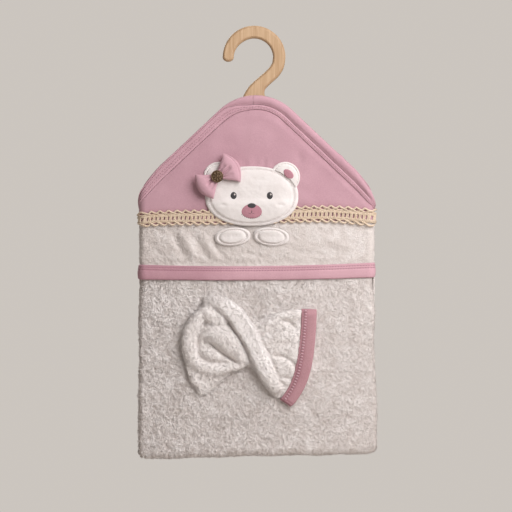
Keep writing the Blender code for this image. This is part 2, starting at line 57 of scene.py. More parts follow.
towel_low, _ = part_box("towel_cloth")
HALF_WIDTH = 0.174
CENTRE_X = 0.004
BOTTOM_DROP = -towel_low.z
APEX_X = 0.0025
APEX_DROP = 0.0847
APEX_RADIUS = 0.0800
SLOPE = radians(42.7)
SLOPE_START = APEX_DROP - APEX_RADIUS * (1 / cos(SLOPE) - 1)
CORNER_ASIDE = (0.145, 0.152, 0.158, 0.164, 0.168, 0.171, 0.174, 0.179)
CORNER_FALL = (0.0, 0.0015, 0.0033, 0.0053, 0.0075, 0.0098, 0.0150, 0.0265)
CORNER_FADE = 0.030  # the inset at which the corners are no longer rounded
CORNER_STEEPNESS = 80
HALF_DEPTH_TOP = 0.015
HALF_DEPTH_BOTTOM = 0.011
TERRY = 0.003
SIDE_RADIUS = 0.007
SIDE_WRAP = SIDE_RADIUS * radians(95)
FLAT_HALF = HALF_WIDTH - SIDE_RADIUS
REACH = FLAT_HALF + SIDE_WRAP
HOOD_ALLOWANCE = 0.0033
RIPPLE = 0.0008
FRONT_LENGTH = BOTTOM_DROP - HALF_DEPTH_BOTTOM
WHOLE_LENGTH = 2 * FRONT_LENGTH + pi * HALF_DEPTH_BOTTOM

ROLL_INSETS = (0.0030, 0.0140)  # on the left and on the right
RIDGE_INSETS = (0.0172, 0.0218)
INSET_CHANGE = (-0.055, -0.004)
EDGE_ABOVE_LACE = 0.0014
BACK_BINDING = 0.012
BINDING_LIFT = 0.0046
JOIN_X = -0.002

LACE_HEIGHT = 0.97  # the lace's share of the height between its top and its bottom
LACE_TOP = (0.2600, 0.2560, 0.2510)
LACE_BOTTOM = (0.2785, 0.2760, 0.2740)
LACE_X = (-0.176, -0.165, -0.150, -0.120, -0.090, 0.000, 0.082, 0.115, 0.141, 0.165, 0.183)
LACE_DROP = (0.2602, 0.2592, 0.2578, 0.2566, 0.2562, 0.2532, 0.2500, 0.2495, 0.2510, 0.2532, 0.2550)
HOOD_SEAM = (0.2755, 0.2715, 0.2690)
BAND_TOP = (0.3340, 0.3360, 0.3310)
BAND_BOTTOM = (0.3560, 0.3570, 0.3530)
HOOD_LIFT = 0.0036


# ------------------------------------------------------------------ the fold

def ease(value, start, end):
    share = np.clip((value - start) / (end - start), 0, 1)
    return share * share * (3 - 2 * share)


def bell(aside, width, along=0.0, length=1.0):
    """1 in the middle, fading to 0 at width and, where it is given, at length."""
    return np.exp(-(aside / width) ** 2 - (along / length) ** 2)


def through(ends, x):
    """A gentle curve through three values: at the left side, in the middle and at the right side."""
    left, middle, right = ends
    place = (x - CENTRE_X) / HALF_WIDTH
    return middle + place * (right - left) / 2 + place * place * ((left + right) / 2 - middle)


def outline_drop(x, inset, spare=0.0):
    """The drop of the towel's sloping edge at x, moved in by inset: round top, slope, round corner.

    Spare moves it further in, square to the line even where the corner is steep.
    """
    aside = np.abs(x - APEX_X)
    radius = APEX_RADIUS - inset - spare
    round_top = APEX_DROP + APEX_RADIUS - np.sqrt(np.maximum(radius ** 2 - aside ** 2, 0))
    fall = smooth_through(CORNER_ASIDE, CORNER_FALL, np.abs(x - CENTRE_X))
    fall = fall * np.clip(1 - inset / CORNER_FADE, 0, 1)
    slope = SLOPE_START + inset / cos(SLOPE) + aside * tan(SLOPE) + fall
    steepness = tan(SLOPE) + fall * CORNER_STEEPNESS
    return np.where(aside < radius * sin(SLOPE), round_top, slope + spare * np.sqrt(1 + steepness ** 2))


def smooth_through(known, values, x):
    """Values between known places, eased so that the line has no sharp corners."""
    return sum(np.interp(x + shift, known, values) for shift in (-0.003, -0.001, 0.001, 0.003)) / 4


def sewn_line(x, insets, above, spare):
    """A line along the sloping edge, moved in by insets, which stays this far above the lace at the sides."""
    left, right = insets
    inset = left + (right - left) * ease(x, *INSET_CHANGE)
    return np.minimum(outline_drop(x, inset, spare), lace_drop(x, 0) - EDGE_ABOVE_LACE - above + spare)


def lace_drop(x, share):
    """The lace sags a little towards both sides: its top at share 0, its foot at share 1."""
    top = smooth_through(LACE_X, LACE_DROP, x)
    return top + (through(LACE_BOTTOM, x) - through(LACE_TOP, x)) * share * LACE_HEIGHT


def roll_line(x, spare=0.0):
    """The inner edge of the outer roll, narrow on the left and wide on the right."""
    return sewn_line(x, ROLL_INSETS, 0.0045, spare)


def ridge_line(x, spare=0.0):
    """The inner edge of the stitched tape beside the roll."""
    return sewn_line(x, RIDGE_INSETS, 0.0006, spare)


def slope_reach(drop, inset):
    """How far the towel's sloping edge, moved in by inset, lies from the middle at this drop."""
    near, far = 0.0, REACH
    for _ in range(20):
        middle = (near + far) / 2
        if outline_drop(CENTRE_X + middle, inset) < drop:
            near = middle
        else:
            far = middle
    bend = max(near - FLAT_HALF, 0) / SIDE_RADIUS
    flat = min(near, FLAT_HALF) * (1 - HOOD_ALLOWANCE / FLAT_HALF)
    return flat + SIDE_RADIUS * sin(min(bend, pi / 2)) + SIDE_RADIUS * (1 - float(ease(near, 0.03, 0.06)))


def hang(x, down):
    """How much wider, to the right, and how much lower the towel's lower end hangs than a straight box."""
    aside = x - CENTRE_X
    wider = 0.0035 * ease(down, 0.42, 0.60) * np.clip(aside / HALF_WIDTH, 0, 1)
    lower = through((0.0044, -0.0014, -0.0034), x) + 0.0005 * np.sin(x / 0.011)
    lower = lower - 0.0040 * ease(np.abs(aside), 0.156, 0.178)
    return wider, lower * ease(down, 0.50, FRONT_LENGTH)


def fold(x, drop, lift):
    """World places of flat cloth points, given as arrays."""
    x, drop, lift = np.broadcast_arrays(*np.atleast_1d(x, drop, lift))
    back = drop > WHOLE_LENGTH / 2
    down = np.where(back, WHOLE_LENGTH - drop, drop)
    depth = HALF_DEPTH_TOP + (HALF_DEPTH_BOTTOM - HALF_DEPTH_TOP) * np.clip(down / FRONT_LENGTH, 0, 1)
    turn = np.clip((drop - FRONT_LENGTH) / HALF_DEPTH_BOTTOM, 0, pi)
    out_y, out_z = -np.cos(turn), -np.sin(turn)
    swell = RIPPLE * np.sin(2 * pi * (x / 0.24 + drop / 0.31)) * np.cos(2 * pi * (drop / 0.27 - x / 0.5))
    lift = lift + np.where(back, 0, swell * (1 - ease(drop, 0.50, FRONT_LENGTH)))
    allowance = np.where(back, 0, HOOD_ALLOWANCE * (1 - ease(drop, 0.358, 0.41)))
    aside = x - CENTRE_X
    side = np.where(aside < 0, -1, 1)
    beyond = np.abs(aside) - FLAT_HALF
    bend = np.clip(beyond, 0, None) / SIDE_RADIUS
    reach = SIDE_RADIUS + lift
    flat_x = CENTRE_X + aside * (1 - allowance / FLAT_HALF)
    bent_x = CENTRE_X + side * (FLAT_HALF - allowance + reach * np.sin(bend))
    outward = depth + np.where(beyond > 0, reach * np.cos(bend) - SIDE_RADIUS, lift)
    wider, lower = hang(x, down)
    return np.stack([
        np.where(beyond > 0, bent_x, flat_x) + wider,
        out_y * outward,
        out_z * outward - np.minimum(down, FRONT_LENGTH) - lower,
    ], axis=-1)


def normals_at(x, drop, lift):
    """World directions out of the flat cloth and down along it."""
    here = fold(x, drop, lift)
    out = fold(x, drop, lift + 1e-4) - here
    down = fold(x, drop + 1e-4, lift) - here
    return unit(out), unit(down)


def unit(rows):
    return rows / np.maximum(np.linalg.norm(rows, axis=-1, keepdims=True), 1e-12)


# ------------------------------------------------------------------ noise and small tools

CELLS = 64  # random values along each side of the noise's lattice, which then repeats


def noise(x, y, size, seed):
    """Smooth noise from -1 to 1 with lumps of this size."""
    lattice = np.random.default_rng(seed).random((CELLS, CELLS)) * 2 - 1
    u, v = x / size, y / size
    column, row = np.floor(u).astype(int), np.floor(v).astype(int)
    a, b = u - column, v - row
    a, b = a * a * (3 - 2 * a), b * b * (3 - 2 * b)
    at = lambda i, j: lattice[(column + i) % CELLS, (row + j) % CELLS]
    low = at(0, 0) * (1 - a) + at(1, 0) * a
    high = at(0, 1) * (1 - a) + at(1, 1) * a
    return low * (1 - b) + high * b


def through_points(table, count):
    """count rows on a smooth curve through the rows of table."""
    table = np.asarray(table, float)
    padded = np.vstack([2 * table[0] - table[1], table, 2 * table[-1] - table[-2]])
    place = np.linspace(0, len(table) - 1, count)
    index = np.minimum(place.astype(int), len(table) - 2)
    t = (place - index)[:, None]
    p0, p1, p2, p3 = (padded[index + k] for k in range(4))
    return 0.5 * (2 * p1 + (p2 - p0) * t + (2 * p0 - 5 * p1 + 4 * p2 - p3) * t ** 2
                  + (3 * p1 - p0 - 3 * p2 + p3) * t ** 3)


def crease(x, drop, ends, width):
    """1 on a straight crease between two places, fading to 0 at width and towards both ends."""
    (x0, d0), (x1, d1) = ends
    run = np.array([x1 - x0, d1 - d0])
    length = np.hypot(*run)
    along = ((x - x0) * run[0] + (drop - d0) * run[1]) / length ** 2
    aside = ((x - x0) * run[1] - (drop - d0) * run[0]) / length
    return bell(aside, width) * ease(along, -0.1, 0.25) * (1 - ease(along, 0.75, 1.1))


LINE_POINTS = 60


def near_line(x, drop, points, width):
    """1 on a curve through these places, fading to 0 at width and at both its ends."""
    line = through_points(points, LINE_POINTS)
    gap = np.hypot(x[:, None] - line[None, :, 0], drop[:, None] - line[None, :, 1])
    nearest = gap.argmin(axis=1)
    ends_fade = ease(nearest, -6, 12) * (1 - ease(nearest, LINE_POINTS - 13, LINE_POINTS + 5))
    return bell(gap.min(axis=1), width) * ends_fade


def turns(count):
    """Angles evenly all the way round."""
    return np.linspace(0, 2 * pi, count, endpoint=False)


def squared(wave, power):
    """A sine or cosine wave made squarer by a power below 1."""
    return np.sign(wave) * np.abs(wave) ** power


def triples(items, name):
    """A property of every vertex, as rows of three numbers."""
    out = np.empty(len(items) * 3, np.float32)
    items.foreach_get(name, out)
    return out.reshape(-1, 3).astype(float)


def places(mesh):
    return triples(mesh.vertices, "co")


def normals_of(mesh):
    return triples(mesh.vertex_normals, "vector")


def place(mesh, points):
    mesh.vertices.foreach_set("co", np.asarray(points, np.float32).ravel())
    mesh.update()


def attribute(mesh, name, values):
    layer = mesh.attributes.new(name, "FLOAT", "POINT")
    layer.data.foreach_set("value", np.asarray(values, np.float32))


def flat_uv(mesh, u, v):
    """A UV map in metres from each vertex's place on the flat cloth."""
    corners = np.empty(len(mesh.loops), np.int32)
    mesh.loops.foreach_get("vertex_index", corners)
    layer = mesh.uv_layers.new(name="flat")
    layer.data.foreach_set("uv", np.stack([u[corners], v[corners]], axis=-1).astype(np.float32).ravel())


def dress(obj, material, nodes=()):
    """Gives a finished piece its material and its body, and hides the nodes that it stands for."""
    obj.data.materials.clear()
    obj.data.materials.append(material)
    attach(obj, "root")
    if nodes:
        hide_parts(*nodes)
    return obj


def placed(name, data, at=(0, 0, 0)):
    """An object of this data, in the scene at this place."""
    obj = bpy.data.objects.new(name, data)
    bpy.context.scene.collection.objects.link(obj)
    obj.location = at
    return obj


def made(name, mesh):
    """An object of this mesh, at the origin and smoothly shaded."""
    mesh.shade_smooth()
    return placed(name, mesh)


def meshed(name, shape, outward=False):
    """The mesh of a finished bmesh, with its faces turned outward first if asked."""
    if outward:
        bmesh.ops.recalc_face_normals(shape, faces=shape.faces)
    mesh = bpy.data.meshes.new(name)
    shape.to_mesh(mesh)
    shape.free()
    return mesh


def across(step, first=-1.0, last=1.0):
    """Places across the cloth, about step apart on its face and closer round its sides."""
    fine = min(step, 0.0016)
    flat = np.linspace(-FLAT_HALF, FLAT_HALF, int(2 * FLAT_HALF / step) + 1)
    curl = np.linspace(FLAT_HALF, REACH, int(SIDE_WRAP / fine) + 1)[1:]
    every = np.concatenate([-curl[::-1], flat, curl]) + CENTRE_X
    low, high = CENTRE_X + first * REACH, CENTRE_X + last * REACH
    inside = every[(every > low + step / 3) & (every < high - step / 3)]
    return np.concatenate([[low], inside, [high]])


def cloth(name, columns, rows, drop_of, lift_of, thickness, shade=None):
    """A sheet of cloth from a grid: columns are places across it and rows the shares down it."""
    grid = bmesh.new()
    bmesh.ops.create_grid(grid, x_segments=len(columns) - 1, y_segments=len(rows) - 1, size=0.5)
    bmesh.ops.reverse_faces(grid, faces=grid.faces)
    mesh = meshed(name, grid)
    at = places(mesh)
    x = columns[np.rint((at[:, 0] + 0.5) * (len(columns) - 1)).astype(int)]
    share = rows[np.rint((at[:, 1] + 0.5) * (len(rows) - 1)).astype(int)]
    drop = drop_of(x, share)
    lift = lift_of(x, drop, share)
    place(mesh, fold(x, drop, lift))
    flat_uv(mesh, x, drop)
    attribute(mesh, "shade", shade(x, drop, share) if shade else np.zeros(len(x)))
    obj = made(name, mesh)
    wall = obj.modifiers.new("wall", "SOLIDIFY")
    wall.thickness = thickness
    wall.offset = -1
    return obj


def curve(ends, lower=0.0):
    return lambda x: through(ends, x) + lower


def between(top, bottom):
    return lambda x, share: top(x) + (bottom(x) - top(x)) * share


def skin(name, rings):
    """The mesh of a closed skin through rings of points: an array of (ring, place round it, 3)."""
    along, around = rings.shape[:2]
    grid = bmesh.new()
    bmesh.ops.create_grid(grid, x_segments=along - 1, y_segments=around, size=0.5)
    for vert in grid.verts:
        ring = round((vert.co.x + 0.5) * (along - 1))
        step = round((vert.co.y + 0.5) * around) % around
        vert.co = rings[ring, step]
    bmesh.ops.remove_doubles(grid, verts=grid.verts, dist=1e-7)
    rims = [edge for edge in grid.edges if edge.is_boundary]
    if rims:
        bmesh.ops.holes_fill(grid, edges=rims, sides=0)
    bmesh.ops.recalc_face_normals(grid, faces=grid.faces)
    if grid.calc_volume(signed=True) < 0:
        bmesh.ops.reverse_faces(grid, faces=grid.faces)
    return meshed(name, grid)


def solid(name, rings):
    """An object with a closed skin through rings of points."""
    return made(name, skin(name, np.array(rings)))


def cord_rings(x, drop, lift, radius, sides=6, flatten=1.0, lowest=-1.0):
    """Rings round a cord that follows flat places x, drop and lift, and lies on the cloth at lowest."""
    path = np.stack([x, drop, lift], axis=-1)
    run = unit(np.gradient(path, axis=0))
    up = np.array([0.0, 0.0, 1.0])
    side = unit(np.cross(run, up))
    rise = np.cross(side, run)
    angle = turns(sides)
    radius = np.broadcast_to(radius, len(x))[:, None, None]
    ring = (path[:, None] + radius * np.cos(angle)[None, :, None] * side[:, None]
            + radius * flatten * np.sin(angle)[None, :, None] * rise[:, None])
    return fold(ring[..., 0], ring[..., 1], np.maximum(ring[..., 2], lowest))


def joined(name, parts):
    """Several meshes made one piece."""
    whole = bmesh.new()
    for part in parts:
        whole.from_mesh(part)
        bpy.data.meshes.remove(part)
    return made(name, meshed(name, whole))


def scattered(name, base, origins, out, along, sizes):
    """Copies of a small mesh, each with its z along out and its x along along, as one piece."""
    small = places(base)
    faces = [tuple(face.vertices) for face in base.polygons]
    sideways = unit(np.cross(out, along))
    along = unit(np.cross(sideways, out))
    sizes = np.broadcast_to(np.asarray(sizes, float), (len(origins), 3))
    local = small[None] * sizes[:, None]
    points = (origins[:, None] + local[..., :1] * along[:, None] + local[..., 1:2] * sideways[:, None]
              + local[..., 2:] * out[:, None])
    count = len(small)
    every = [tuple(corner + count * copy for corner in face)
             for copy in range(len(origins)) for face in faces]
    mesh = bpy.data.meshes.new(name)
    mesh.from_pydata(points.reshape(-1, 3), [], every)
    return made(name, mesh)


# ------------------------------------------------------------------ small shapes that are repeated

def stitch_shape():
    """A short stitch along x, thick in its middle and sunk at its ends, one unit long."""
    shape = bmesh.new()
    ring = bmesh.ops.create_circle(shape, segments=5, radius=0.5)["verts"]
    for vert in ring:
        vert.co = (-0.5, vert.co.x * 0.5, vert.co.y * 0.5 - 0.5)
    edges = shape.edges[:]
    for x, size, height in ((-0.25, 1.0, 0.0), (0.25, 1.0, 0.0), (0.5, 0.5, -0.5)):
        grown = bmesh.ops.extrude_edge_only(shape, edges=edges)["geom"]
        new = [item for item in grown if isinstance(item, bmesh.types.BMVert)]
        for vert, old in zip(new, ring):
            angle = ring.index(old) * 2 * pi / 5
            vert.co = (x, size * 0.5 * cos(angle), size * 0.5 * sin(angle) + height)
        edges = [item for item in grown if isinstance(item, bmesh.types.BMEdge)]
        ring = new
    bmesh.ops.holes_fill(shape, edges=shape.edges, sides=0)
    return meshed("stitch", shape, outward=True)


def loop_shape():
    """One loop of terry pile: a small arch of yarn with sunk ends, one unit high."""
    shape = bmesh.new()
    bmesh.ops.create_uvsphere(shape, u_segments=3, v_segments=2, radius=0.5)
    for vert in shape.verts:
        rise, aside, along = vert.co
        vert.co = (0.9 * along, 0.68 * aside, 0.72 - 2.0 * abs(along) + 0.68 * rise)
    return meshed("loop", shape, outward=True)


# ------------------------------------------------------------------ shader tools

def new_group(name, inputs, outputs):
    """A shader node group with named inputs, each with its value, and outputs."""
    group = bpy.data.node_groups.new(name, "ShaderNodeTree")
    for label, kind, value in inputs:
        socket = group.interface.new_socket(label, in_out="INPUT", socket_type="NodeSocket" + kind)
        if value is not None:
            socket.default_value = value
    for label, kind in outputs:
        group.interface.new_socket(label, in_out="OUTPUT", socket_type="NodeSocket" + kind)
    return group, group.nodes.new("NodeGroupInput").outputs, group.nodes.new("NodeGroupOutput").inputs


def node(tree, kind, links=None, **values):
    """A node with its properties set, then its inputs given as values or sockets."""
    new = tree.nodes.new("ShaderNode" + kind)
    for name, value in values.items():
        setattr(new, name, value)
    for name, value in (links or {}).items():
        if isinstance(value, bpy.types.NodeSocket):
            tree.links.new(value, new.inputs[name])
        else:
            new.inputs[name].default_value = value
    return new


def calc(tree, operation, first, second=0.0, **values):
    """The result of a sum on numbers or sockets."""
    return node(tree, "Math", {0: first, 1: second}, operation=operation, **values).outputs[0]


def cloud(tree, where, scale, detail, distortion=0.0):
    """Soft noise in the shader."""
    links = {"Vector": where, "Scale": scale, "Detail": detail, "Distortion": distortion}
    return node(tree, "TexNoise", links).outputs["Fac"]


def shader(name, roughness, specular=0.3, sheen=0.0, metallic=0.0):
    """A material with a Principled BSDF whose constant values are on its own sockets."""
    material = bpy.data.materials.new(name)
    material.use_nodes = True
    surface = material.node_tree.nodes["Principled BSDF"].inputs
    for socket, value in (("Roughness", roughness), ("Metallic", metallic), ("Sheen Weight", sheen),
                          ("Sheen Roughness", 0.5), ("Specular IOR Level", specular)):
        surface[socket].default_value = value
    return material, material.node_tree, surface


def mottle_group():
    """Colour that drifts between a light and a dark tone in soft patches and fine specks."""
    group, given, out = new_group("mottled colour", [
        ("Vector", "Vector", None), ("Light", "Color", (1, 1, 1, 1)), ("Dark", "Color", (0.5, 0.5, 0.5, 1)),
        ("Patch Scale", "Float", 20.0), ("Speck Scale", "Float", 400.0), ("Shade", "Float", 0.0),
    ], [("Color", "Color"), ("Mask", "Float")])
    patch = cloud(group, given["Vector"], given["Patch Scale"], 3.0)
    speck = cloud(group, given["Vector"], given["Speck Scale"], 2.0)
    both = calc(group, "ADD", patch, speck)
    spread = node(group, "MapRange", {"Value": both, "From Min": 0.4, "From Max": 1.6})
    total = calc(group, "ADD", spread.outputs[0], given["Shade"], use_clamp=True)
    mix = node(group, "Mix", {"Factor": total, 6: given["Light"], 7: given["Dark"]}, data_type="RGBA")
    group.links.new(mix.outputs[2], out["Color"])
    group.links.new(total, out["Mask"])
    return group


def weave_group():
    """The raised threads of a fine cloth, from the piece's flat UV in metres."""
    group, given, out = new_group("thread relief", [
        ("Vector", "Vector", None), ("Threads", "Float", 1500.0), ("Slub", "Float", 0.3),
    ], [("Height", "Float")])
    split = node(group, "SeparateXYZ", {0: given["Vector"]}).outputs
    waves = [calc(group, "SINE", calc(group, "MULTIPLY", split[axis], given["Threads"])) for axis in "XY"]
    crossed = calc(group, "MULTIPLY", *waves)
    slub = cloud(group, given["Vector"], 300.0, 4.0)
    blend = node(group, "Mix", {"Factor": given["Slub"], 2: crossed, 3: slub}, data_type="FLOAT")
    group.links.new(blend.outputs[0], out["Height"])
    return group


MOTTLE = mottle_group()
WEAVE = weave_group()


def mottled(name, light, dark, patch, speck, roughness, shaded=True, **more):
    """A material whose colour drifts between two tones, made darker or lighter by the mesh's shade attribute,
    which mostly holds painted shade.
    """
    material, tree, surface = shader(name, roughness, **more)
    where = node(tree, "TexCoord").outputs["Object"]
    shade = node(tree, "Attribute", attribute_name="shade").outputs["Fac"] if shaded else 0.0
    colour = node(tree, "Group", {"Vector": where, "Light": (*light, 1), "Dark": (*dark, 1), "Shade": shade,
                                  "Patch Scale": patch, "Speck Scale": speck}, node_tree=MOTTLE)
    tree.links.new(colour.outputs["Color"], surface["Base Color"])
    return material, tree, surface, where, colour


def bumped(tree, surface, height, strength, distance):
    bump = node(tree, "Bump", {"Height": height, "Strength": strength, "Distance": distance})
    tree.links.new(bump.outputs[0], surface["Normal"])


def roughened(tree, surface, mask, least, most):
    rough = node(tree, "MapRange", {"Value": mask, "To Min": least, "To Max": most})
    tree.links.new(rough.outputs[0], surface["Roughness"])


def terry_material(name, light, dark):
    material, tree, surface, where, _ = mottled(name, light, dark, 45.0, 420.0, 0.95, sheen=0.25,
                                                specular=0.1)
    lumps = node(tree, "TexVoronoi", {"Vector": where, "Scale": 620.0}).outputs["Distance"]
    bumped(tree, surface, calc(tree, "SUBTRACT", cloud(tree, where, 900.0, 3.0), lumps), 0.5, 0.0009)
    return material


def cotton_material(name, light, dark, relief=0.25):
    material, tree, surface, _, _ = mottled(name, light, dark, 18.0, 700.0, 0.82, sheen=0.15, specular=0.2)
    flat = node(tree, "UVMap", uv_map="flat").outputs["UV"]
    threads = node(tree, "Group", {"Vector": flat, "Threads": 3200.0, "Slub": 0.45}, node_tree=WEAVE)
    bumped(tree, surface, threads.outputs["Height"], relief, 0.0004)
    return material


def plush_material(name, light, dark):
    material, tree, surface, where, _ = mottled(name, light, dark, 60.0, 900.0, 0.9, sheen=0.35, specular=0.1)
    bumped(tree, surface, cloud(tree, where, 1300.0, 4.0), 0.35, 0.0006)
    return material


def thread_material(name, light, dark):
    material, tree, surface, where, _ = mottled(name, light, dark, 90.0, 1500.0, 0.7, shaded=False, sheen=0.1)
    ply = node(tree, "TexWave", {"Vector": where, "Scale": 700.0, "Distortion": 3.0, "Detail": 2.0},
               bands_direction="DIAGONAL")
    bumped(tree, surface, ply.outputs["Fac"], 0.4, 0.0003)
    return material


def wood_material():
    """Light wood with fine straight grain up the board, and painted shade along its rounded edges."""
    material, tree, surface = shader("light wood", 0.5, specular=0.4)
    where = node(tree, "TexCoord").outputs["Object"]
    stretched = node(tree, "Mapping", {"Vector": where, "Scale": (1.0, 1.0, 0.035)}).outputs[0]
    fine = cloud(tree, stretched, 900.0, 3.0)
    both = calc(tree, "ADD", cloud(tree, stretched, 160.0, 5.0, 0.3), fine)
    spread = node(tree, "MapRange", {"Value": both, "From Min": 0.75, "From Max": 1.3})
    ramp = node(tree, "ValToRGB", {"Fac": spread.outputs[0]})
    for stop, colour in zip(ramp.color_ramp.elements, ((0.61, 0.425, 0.265, 1), (0.44, 0.275, 0.150, 1))):
        stop.color = colour
    # the mesh's shade attribute paints shade on the board's rounded edges
    shade = node(tree, "Attribute", attribute_name="shade").outputs["Fac"]
    dark = node(tree, "Mix", {"Factor": shade, 6: ramp.outputs["Color"], 7: (0.28, 0.15, 0.07, 1)},
                data_type="RGBA")
    tree.links.new(dark.outputs[2], surface["Base Color"])
    roughened(tree, surface, fine, 0.42, 0.6)
    bumped(tree, surface, fine, 0.15, 0.0004)
    return material


def button_material():
    light, dark = (0.26, 0.17, 0.10), (0.07, 0.045, 0.03)
    material, tree, surface, _, colour = mottled("aged bronze", light, dark, 300.0, 1500.0, 0.45,
                                                 shaded=False, metallic=0.7, specular=0.4)
    roughened(tree, surface, colour.outputs["Mask"], 0.35, 0.65)
    return material


TERRY_WHITE = terry_material("white terry", (0.95, 0.905, 0.89), (0.74, 0.675, 0.645))
PINK = cotton_material("pink cotton", (0.62, 0.380, 0.437), (0.47, 0.262, 0.312), relief=0.4)
BINDING = cotton_material("pink binding", (0.67, 0.405, 0.465), (0.47, 0.25, 0.30))
# the cuff's pink is the binding's pink made darker, as painted shade
SHADED_CUFF_PINK = cotton_material("pink cuff", (0.55, 0.315, 0.345), (0.35, 0.165, 0.195))
PLUSH = plush_material("white plush", (0.87, 0.83, 0.82), (0.74, 0.68, 0.66))
MUZZLE = cotton_material("pink patch", (0.53, 0.265, 0.31), (0.42, 0.19, 0.24))
LACE = thread_material("cream thread", (0.82, 0.69, 0.55), (0.62, 0.46, 0.325))
PINK_THREAD = thread_material("pink thread", (0.72, 0.48, 0.53), (0.57, 0.34, 0.39))
DEEP_PINK_THREAD = thread_material("deep pink thread", (0.44, 0.23, 0.28), (0.32, 0.15, 0.19))
WHITE_THREAD = thread_material("white thread", (0.80, 0.74, 0.72), (0.60, 0.53, 0.50))
GREY_THREAD = thread_material("grey thread", (0.085, 0.08, 0.085), (0.03, 0.028, 0.03))
WOOD = wood_material()
BRONZE = button_material()


# ------------------------------------------------------------------ terry cloth

def slanted(x, drop):
    """Places along and across the slant in which the terry's clumps lie."""
    return 0.82 * x + 0.57 * drop, 0.82 * drop - 0.57 * x


def pile(x, drop, strength=1.0):
    """The uneven face of looped terry: short clumps that lie slantwise, with single loops on them.

    It is rougher towards the left, where the cloth has been handled more.
    """
    along, aside = slanted(x, drop)
    clumps = noise(along * 0.6, aside, 0.0038, 3) * 0.5 + noise(x + 0.3, drop * 0.8, 0.0050, 4) * 0.5
    loops = noise(x, drop + 0.1, 0.0021, 5)
    return (clumps * 0.00066 + loops * 0.0006) * strength * (1.12 - 2.0 * np.clip(x, -0.2, 0.2))


def painted_clump_light(height):
    """Painted light by the pile's height: a raised clump is painted lighter than the cloth between."""
    return height / 0.0013 * 0.4


def painted_pile_shade(x, drop, *more):
    """Painted shade: darker towards the right, between the clumps and round the towel's sides, with tone that
    drifts at random in soft patches.
    """
    # painted shade round the towel's curled sides
    side = 0.5 * ease(np.abs(x - CENTRE_X), FLAT_HALF - 0.001, FLAT_HALF + 0.006)
    return 0.04 + 0.8 * x - painted_clump_light(pile(x, drop)) + side + 0.22 * noise(x + 0.1, drop, 0.009, 14)


def painted_strip_shade(x, drop, *more):
    """Painted shade on the hood's strip: a little darker than the towel's face, most of all at its left end.
    """
    return painted_pile_shade(x, drop) + 0.38 - 1.3 * x


def standing(name, origins, out, down, size, seed, shade):
    """Loops of terry pile standing on these places."""
    rng = np.random.default_rng(seed)
    one_each = (len(origins), 1)
    angle = rng.uniform(0, 2 * pi, len(origins))[:, None]
    sideways = np.cross(out, down)
    along = down * np.cos(angle) + sideways * np.sin(angle)
    lean = rng.normal(0, 0.6, one_each) * along + rng.normal(0, 0.6, one_each) * sideways
    sizes = rng.uniform(0.7, 1.3, one_each) * np.array([[1.0, 1.1, 0.85]]) * size
    loops = scattered(name, LOOP, origins, unit(out + lean), along, sizes)
    # each loop's tone drifts at random, on top of the painted shade that it is given
    shades = rng.uniform(-0.25, 0.20, len(origins)) + shade
    attribute(loops.data, "shade", np.repeat(shades, len(LOOP.vertices)))
    dress(loops, TERRY_WHITE)


def dress_pile(name, x, drop, lift, size, seed, shade=painted_pile_shade):
    """Loops of terry pile on the flat places given, larger towards the left."""
    rng = np.random.default_rng(seed)
    x = x + rng.uniform(-0.4, 0.4, len(x)) * size
    drop = drop + rng.uniform(-0.4, 0.4, len(x)) * size
    out, down = normals_at(x, drop, lift)
    sizes = size * (0.90 - 0.8 * x)[:, None]
    standing(name, fold(x, drop, lift), out, down, sizes, seed, shade(x, drop))


LOOP = loop_shape()
STITCH = stitch_shape()


def pile_places(step, drops):
    """Flat places step apart all across the cloth and over these drops, each row shifted by half a step."""
    xs = np.arange(CENTRE_X - REACH, CENTRE_X + REACH, step)
    drops = np.arange(*drops, step * 0.9)
    x, drop = np.meshgrid(xs, drops)
    x = x + (np.arange(len(drops)) % 2 * step / 2)[:, None]
    return x.ravel(), drop.ravel()


def soft_swell(x, drop):
    """Slow dents and swells of the hanging front."""
    along, aside = slanted(x, drop)
    return (noise(along, aside, 0.055, 11) * 0.0009 + noise(along + 0.2, aside, 0.024, 12) * 0.0006
            + noise(along, aside + 0.3, 0.012, 13) * 0.0003)


TOWEL_THICK = TERRY - 0.0004
PILE_SUNK = 0.0002
FRONT_END = FRONT_LENGTH + pi * HALF_DEPTH_BOTTOM


def make_towel():
    """The outer layer: its front and bottom fold in one piece, and its back in another with wider steps."""
    step, back_step = 0.0018, 0.0030
    start = 0.336  # above this the hood hides the front
    fine_rows = int((FRONT_END - start) / step)
    rows = np.concatenate([np.linspace(0, 0.5, 28, endpoint=False), np.linspace(0.5, 1, fine_rows)])

    def front_drop(x, share):
        top = roll_line(x, 0.0006)
        upper = top + (start - top) * share * 2
        lower = start + (FRONT_END - start) * (share - 0.5) * 2
        return np.where(share < 0.5, upper, lower)

    def front_lift(x, drop, share):
        show = ease(drop, 0.345, 0.36)
        under_mitt = 1 - 0.7 * np.exp(-(((x + 0.01) / 0.1) ** 2 + ((drop - 0.46) / 0.08) ** 2) ** 2)
        return show * (pile(x, drop) + soft_swell(x, drop) * under_mitt) - PILE_SUNK

    def back_lift(x, drop, share):
        return pile(x, drop) - PILE_SUNK + soft_swell(x, drop) * ease(share, 0, 0.1)

    front = cloth("towel_front", across(step), rows, front_drop, front_lift, TOWEL_THICK, painted_pile_shade)
    dress(front, TERRY_WHITE, ["towel_cloth"])
    back_drop = between(lambda x: FRONT_END + 0 * x,
                        lambda x: WHOLE_LENGTH - outline_drop(x, BACK_BINDING + 0.0003))
    back_rows = np.linspace(0, 1, int(0.52 / back_step))
    back = cloth("towel_back", across(back_step), back_rows, back_drop, back_lift, TOWEL_THICK, painted_pile_shade)
    dress(back, TERRY_WHITE)


